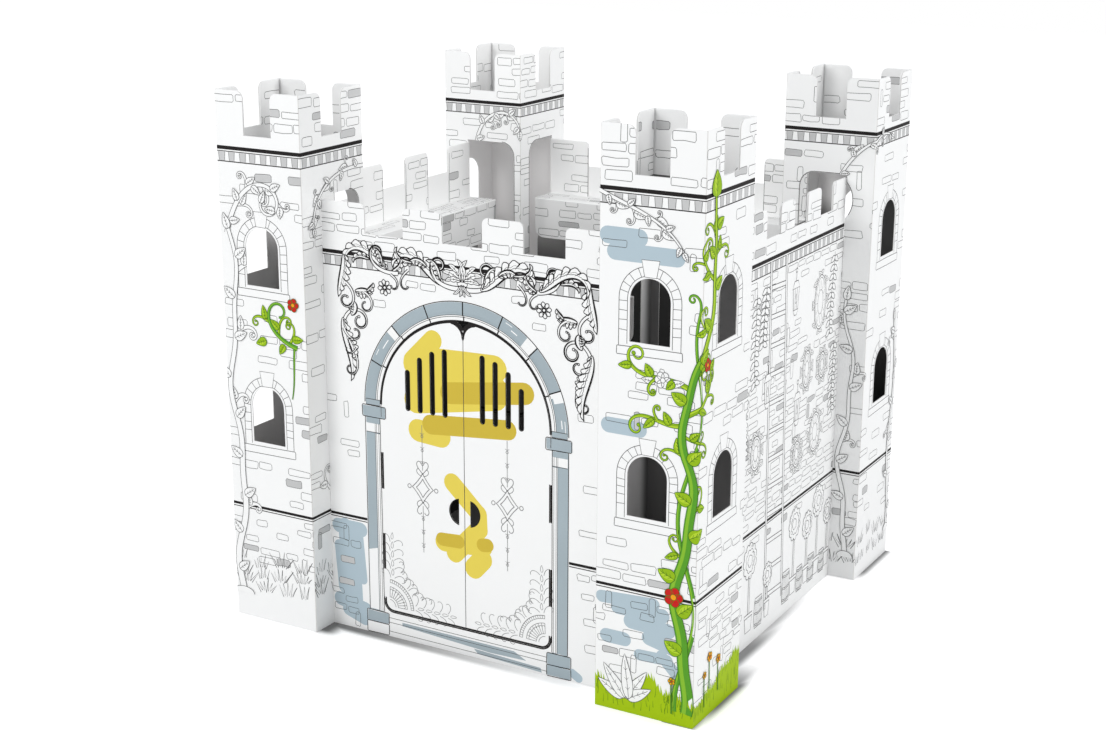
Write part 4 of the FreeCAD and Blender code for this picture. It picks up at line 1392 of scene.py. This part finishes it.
plant = Plant("plant_front_right", seed=90)
plant.on("tower_front_right")
rng = plant.rng
plant.side = tower_sides["tower_front_right", SOUTH]
grass_strip(plant, lambda u: 62 + 16 * math.sin(u / 26 + 1.2) + 9 * math.sin(u / 9))
plant.side = tower_sides["tower_front_right", EAST]
grass_strip(plant, lambda u: 62 + 22 * math.sin(u / 60) + 5 * math.sin(u / 11))

# The stem leans to and fro beside the tower's corner, and goes round it near the top.
main_path, twin_path = [], []
for step in range(116):
    v = 28 + step * 9
    sway = (13 + v * 0.008) * math.sin(v / 62 + 0.4) + 4 * math.sin(v / 25)
    drift = 96 * min(1, max(0, (v - 560) / 480)) ** 1.2
    main_path.append((82 + sway + drift, v))
    if v < 840:
        twin_path.append((88 - 20 * math.sin(v / 62 + 0.9) + drift * 0.7, v))
twin_path += walk(*twin_path[-1], heading_at(twin_path, len(twin_path) - 1), 84, 0.4, 15.0, 2.0, 34)[1:]
plant.stalk(twin_path, 11, 3, COLOURS, 0.22)


def on_main(level_v):
    return min(main_path, key=lambda point: abs(point[1] - level_v))


# Each shoot: its level, heading, length, first and last turn, root width and leaves.
for level_v, heading, length, first, last, root, leaves in (
    (690, 150, 235, 0.55, -6.8, 11, 3), (618, 196, 170, -0.75, 7.2, 10, 2), (560, 150, 96, 0.3, 13.0, 7, 1),
    (352, 150, 96, -0.2, -13.0, 7, 1), (905, 148, 170, -0.25, -8.2, 9, 2), (985, 118, 92, 0.4, 13.0, 7, 1),
    (640, 30, 215, 0.05, 6.6, 10, 3), (724, 40, 130, -0.6, -10.0, 7, 1), (800, 152, 110, -0.4, -12.0, 8, 1),
    (452, 34, 110, 0.5, 11.5, 7, 1), (950, 38, 110, -0.5, -12.0, 7, 1), (600, -32, 120, 0.9, -12.5, 7, 1),
):
    plant.shoot(*on_main(level_v), heading, length, first, last, root, YOUNG, leaves)
young = 82
plant.stalk(main_path[young - 1:], 15.5, 8, YOUNG, STEM - 0.06)
plant.stalk(main_path[:young], 26, 14, COLOURS, STEM)
for number, level_v in enumerate((150, 232, 306, 398, 470, 552, 664, 748, 812, 880, 948, 1004)):
    a, b = on_main(level_v)
    way = 1 if number % 2 else -1
    size = 44 - level_v * 0.012
    heading = 90 - way * rng.uniform(38, 60)
    plant.leaf(a + way * 4, b, heading, size, size * 0.72, COLOURS, STEM_LEAVES, -0.9 * way)
tip_u, tip_v = main_path[-1]
plant.leaf(tip_u, tip_v - 6, 88, 52, 40, YOUNG, STEM_LEAVES, 0.3)
plant.blossom(*on_main(272), 21, RED, ORANGE)
plant.blossom(on_main(735)[0] + 30, 742, 14, RED, ORANGE, turn=20)
for u, v, size in ((182, 128, 11), (224, 108, 10), (160, 96, 8), (64, 92, 8)):
    plant.stalk(walk(u, v - 70, 92, 70, 0.05, -0.12, 1.0, 12), 2.6, 2.0, COLOURS, laid(STEM_LEAVES))
    plant.blossom(u - 1, v, size, ORANGE, RED, turn=36)
# A clump of dock leaves, left white to be coloured in.
shapes_laid = 0
plant.sides = plant.sides[:1]
for number, (lean, length) in enumerate(((148, 66), (122, 84), (60, 82), (34, 62), (92, 98))):
    bend = 0.25 if lean > 90 else -0.25
    plant.leaf(-44 + number * 3, 30, lean, length, 25, UNPAINTED, SHOOT_LEAVES, bend)
plant.finish()

# Plants on the other sheets: drawn in fine line and left white, apart from one sprig in
# colour on the front left tower.
SHOOT_TURN, CLIMBER_LEAVES = 1300, STEM_LEAVES + 0.42


def climber(plant, path, root, tip, leaf_size, shoots):
    """An uncoloured climbing plant: a stalk, its shoots (each its place on the path, its way
    and length), a leaf every so often and one at its tip. One that grows from the ground
    stands in a low mound."""
    for index, way, length in shoots:
        plant.shoot(*path[index], heading_at(path, index) + 48 * way, length, 0.3 * way,
                    SHOOT_TURN / length * way, root * 0.62, UNPAINTED, 1, 2.0)
    plant.stalk(path, root, tip, UNPAINTED, laid(STEM))
    for number, index in enumerate(range(5, len(path) - 3, 9)):
        way = 1 if number % 2 else -1
        plant.leaf(*path[index], heading_at(path, index) + 55 * way, leaf_size, leaf_size * 0.6, UNPAINTED,
                   CLIMBER_LEAVES, 0.6 * way)
    plant.leaf(*path[-2], heading_at(path, len(path) - 1), leaf_size, leaf_size * 0.55, UNPAINTED,
               CLIMBER_LEAVES, 0.4)
    foot_u, foot_v = path[0]
    if foot_v < 100:
        mound = [about(foot_u, foot_v - 5, root * 1.7, turn, 15 / (root * 1.7)) for turn in range(0, 195, 15)]
        for plant.side, shift in plant.sides:
            plant.fill(shifted(mound, shift), PAPER, FLOWERS)
            plant.stroke(shifted(mound, shift), 1.2, FINE, FLOWERS + 0.03)


def tufts(design, rows):
    """Sketched grass: each tuft one line up and down its blades."""
    rng, half = design.rng, design.side.half
    for row in rows:
        u = -half + rng.uniform(4, 16)
        while u < half - 8:
            foot = row + rng.uniform(-9, 9)
            blades = rng.randint(3, 6)
            path = [(u, foot)]
            for number in range(blades):
                lean = math.radians((number - (blades - 1) / 2) * 14)
                size = 38 * rng.uniform(0.55, 1.1)
                root = u + number * 5
                path += [(root + 2.5 + size * math.sin(lean), foot + size * math.cos(lean)),
                         (root + 5, foot + rng.uniform(1, 7))]
            design.stroke(path, 1.6, FINE, 0.24)
            u += blades * 5 + rng.uniform(14, 34)


sprig = Plant("plant_front_left", seed=91)
sprig.on("tower_front_left")
climb = [(-84 - 12 * math.sin(v / 70) + 5 * math.sin(v / 31), v) for v in range(60, 905, 10)]
over_arch = walk(-92, 880, 74, 300, -0.15, -3.4, 2.0, 52)
from_right = walk(332, 1012, 176, 250, 0.05, 0.75, 1.0, 44)
climber(sprig, climb, 17, 9, 36, ((20, -1, 80), (44, -1, 84), (60, -1, 110), (74, -1, 150)))
climber(sprig, over_arch, 12, 5, 28, ((12, -1, 90), (20, 1, 76), (28, -1, 84), (38, 1, 60)))
climber(sprig, from_right, 8, 5, 22, ((10, -1, 52), (22, 1, 46), (30, -1, 42), (38, 1, 36)))
sprig.shoot(176, 318, 130, 110, -0.3, -12.0, 7, UNPAINTED, 1, 2.0)
for sprig.side, _ in sprig.sides:
    tufts(sprig, (72, 100, 128))
bough = walk(86, 648, 168, 196, -0.35, -4.9, 2.2, 44)
sprig.stalk(bough, 10, 4, COLOURS, STEM)
for index, heading, length, first, last in ((12, 92, 96, -0.5, -13.0), (20, 150, 84, 0.4, 14.0),
                                            (5, 50, 88, 0.6, 13.5)):
    sprig.shoot(*bough[index], heading, length, first, last, 7, YOUNG, 1)
sprig.stalk(walk(78, 650, 262, 118, 0.25, -0.35, 1.0, 24), 5, 2, COLOURS, laid(SHOOTS))
sprig.leaf(4, 655, 196, 30, 20, COLOURS, STEM_LEAVES)
sprig.leaf(52, 652, 236, 26, 17, COLOURS, STEM_LEAVES)
sprig.blossom(78, 742, 15, RED, ORANGE)
sprig.finish()

others = Plant("plants_in_line", seed=92)
others.on("tower_front_right")
others.sides = others.sides[:1]
climber(others, walk(-114, 1060, -24, 218, 0.12, -0.55, 1.3, 44), 8, 4, 20,
        ((8, -1, 54), (16, -1, 66), (26, 1, 40), (30, -1, 58)))
others.leaf(14, 700, 170, 30, 15, UNPAINTED, SHOOTS)
others.leaf(46, 700, 10, 30, 15, UNPAINTED, SHOOTS)
others.blossom(30, 706, 17, PAPER, PAPER, SHOOT_LEAVES, FINE, 6)
others.on("tower_back_left")
climber(others, walk(-20, 948, 84, 210, -0.25, -1.4, 1.0, 44), 9, 5, 24,
        ((16, -1, 60), (22, -1, 66), (30, -1, 50)))
others.on("tower_back_right")
climb = [(70 + 12 * math.sin(v / 62) + 5 * math.sin(v / 27), v) for v in range(60, 700, 10)]
climber(others, climb, 12, 6, 34, ((28, -1, 66), (44, -1, 74), (56, 1, 60)))
climb = [(304 + 10 * math.sin(v / 58), v) for v in range(70, 620, 10)]
climber(others, climb, 10, 6, 28, ((24, 1, 60), (48, 1, 76)))
climber(others, walk(20, 945, 66, 240, -0.15, -0.62, 1.0, 44), 8, 4, 20,
        ((14, 1, 46), (24, -1, 56), (32, -1, 50)))
for (name, facing), others.side in tower_sides.items():
    if not ("front" in name and facing in (SOUTH, EAST)):
        tufts(others, (42, 84))
others.finish()

# The right wall's own drawing, in fine line: a ladder against the bricks, lanterns, oval
# frames in leaf work, hanging garlands, and barrels and clipped trees along its foot.
# Lifts rise from 0.24 to 0.46 mm, so that what stands in front covers what is behind.
drawing = Print("right_wall_drawing", wall_sides["right_wall"], 93)
rng = drawing.rng


def line(path, width, lift, closed=False):
    drawing.stroke(path, width, FINE, lift, closed)


def blank(ring, lift):
    drawing.shape(ring, lift, 1.8, FINE)


def tapered(u, first_v, first_half, second_v, second_half):
    """A four-sided outline about u, as wide at each height as the half after it says."""
    return [(u - first_half, first_v), (u + first_half, first_v),
            (u + second_half, second_v), (u - second_half, second_v)]


for v in range(84, LADDER_TOP - 6, 64):
    t = (LADDER_TOP - v) / (LADDER_TOP - LADDER_FOOT)
    a, b = (top + (foot - top) * t for top, foot in (LADDER_LEFT, LADDER_RIGHT))
    blank([(a, v - 4), (b, v - 8), (b, v + 2), (a, v + 6)], 0.24)
for top, foot in (LADDER_LEFT, LADDER_RIGHT):
    rail = [(top - 4, LADDER_TOP), (foot - 4, LADDER_FOOT), (foot + 4, LADDER_FOOT), (top + 4, LADDER_TOP)]
    blank(rail, 0.30)


def lantern(u, v):
    """A hexagonal lantern on a hook."""
    line([(u, v + 62), (u, v + 42)], 1.4, 0.34)
    line(arc(u, v + 66, 5, 0, 330, 11), 1.4, 0.34)
    blank(tapered(u, v + 42, 9, v + 26, 20), 0.34)
    blank(tapered(u, v + 26, 17, v - 22, 12), 0.38)
    for offset in (-6, 6):
        line([(u + offset, v + 25), (u + offset * 0.7, v - 21)], 1.4, 0.44)
    blank(tapered(u, v - 22, 14, v - 34, 5), 0.40)
    line(leaf_ring(walk(u, v - 8, 90, 22, 0, 0, 1.0, 10), 9, 0.35), 1.1, 0.46, closed=True)


def oval(u, v, half_u, half_v):
    return [about(u, v, half_u, 9 * i, half_v / half_u) for i in range(40)]


def framed_oval(u, v, half_u, half_v):
    """An oval frame set in leaves, with rays round a small oval in its middle."""
    tall = half_v / half_u
    for number in range(16):
        turn = number * 22.5 + 11
        lean, bend = (50, 2.2) if number % 2 else (-40, -2.2)
        spine = walk(*about(u, v, half_u * 0.92, turn, tall), turn + lean, 27, bend, -1.0, 1.0, 16)
        acanthus(drawing, spine, 13, 0.26 + 0.04 * (number % 2), FINE, 1.2, 4)
    blank(oval(u, v, half_u, half_v), 0.36)
    line(oval(u, v, half_u - 6, half_v - 6), 1.4, 0.40, closed=True)
    line(oval(u, v, half_u * 0.45, half_v * 0.45), 1.4, 0.40, closed=True)
    for turn in range(0, 360, 30):
        line([about(u, v, half_u * r, turn, tall) for r in (0.5, 0.8)], 0.9, 0.40)


def garland(u, v, length, sway):
    """A hanging string of large leaves."""
    path = walk(u, v, -90 + sway, length, -0.15, 0.25, 1.0, 36)
    line(path, 1.3, 0.26)
    for index in range(2, 35, 4):
        for way in (-1, 1):
            spine = walk(*path[index], heading_at(path, index) + 56 * way, 25, 1.2 * way, -1.2 * way, 1.0, 10)
            blank(leaf_ring(spine, 13), 0.30 + 0.06 * (index // 4 % 2) + 0.03 * (way > 0))


def barrel(u, v, half, height):
    """A wooden barrel with staves and three hoops."""
    left = [(u - half * (0.82 + 0.18 * math.sin(math.pi * t / 10)), v + height * t / 10) for t in range(11)]
    right = [(2 * u - a, b) for a, b in left]
    blank(left + right[::-1], 0.30)
    for share in (0.12, 0.5, 0.88):
        for rise in (-2, 2):
            hoop_v = v + height * share + rise
            line([(u - half * 0.95, hoop_v), (u, hoop_v - 4), (u + half * 0.95, hoop_v)], 1.5, 0.35)
    for offset in (-0.6, -0.3, 0, 0.3, 0.6):
        end_u, middle_u = u + half * offset, u + half * offset * 1.1
        line([(end_u, v + 4), (middle_u, v + height / 2), (end_u, v + height - 4)], 1.2, 0.35)


CROWN_TALL = 1.2


def scalloped(u, v, half, lobes):
    """The outline of a clipped crown: an oval made of small round lobes."""
    ring = []
    for step in range(lobes * 6):
        swelling = 0.16 * abs(math.sin(math.radians(30 * step))) ** 0.7
        ring.append(about(u, v, half * (0.88 + swelling), 60 / lobes * step, CROWN_TALL))
    return ring


def potted_tree(u, v, height, half):
    """A clipped tree in a tub: trunk, and a crown drawn in scallops."""
    crown_v = v + height - half * CROWN_TALL
    blank(tapered(u, v + 20, 4, crown_v, 3), 0.28)
    blank(tapered(u, v, half * 0.42, v + 34, half * 0.56), 0.32)
    blank(tapered(u, v + 34, half * 0.62, v + 42, half * 0.62), 0.36)
    blank(scalloped(u, crown_v, half, 11), 0.40)
    for share, lobes in ((0.66, 8), (0.34, 5)):
        line(scalloped(u + rng.uniform(-3, 3), crown_v, half * share, lobes), 1.5, 0.44, closed=True)
    for _ in range(7):
        turn, reach = rng.uniform(0, 360), half * rng.uniform(0.45, 0.8)
        line(arc(*about(u, crown_v, reach, turn, CROWN_TALL), 5, turn - 80, turn + 80, 6), 1.0, 0.44)


for tool, places in (
    (lantern, ((60, 735), (-78, 560), (92, 476))),
    (framed_oval, ((205, 700, 34, 62), (140, 560, 24, 42), (232, 548, 20, 30), (205, 396, 32, 46),
                   (100, 372, 20, 30), (-240, 700, 30, 50), (-130, 440, 26, 38), (-262, 420, 22, 32))),
    (garland, ((-150, 790, 200, 3), (-100, 800, 130, -4), (284, 800, 190, -3), (300, 590, 170, 2),
               (-200, 600, 150, 4), (-300, 640, 150, 2))),
    (potted_tree, ((-250, 34, 190, 30), (-140, 34, 206, 34), (-40, 34, 128, 24), (108, 34, 208, 32),
                   (186, 34, 176, 28), (248, 34, 220, 32), (312, 34, 168, 26))),
    (barrel, ((-86, 28, 22, 70), (68, 28, 22, 76), (148, 28, 18, 60), (216, 28, 20, 66), (282, 28, 17, 56))),
):
    for place in places:
        tool(*place)
drawing.finish()

low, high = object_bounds()
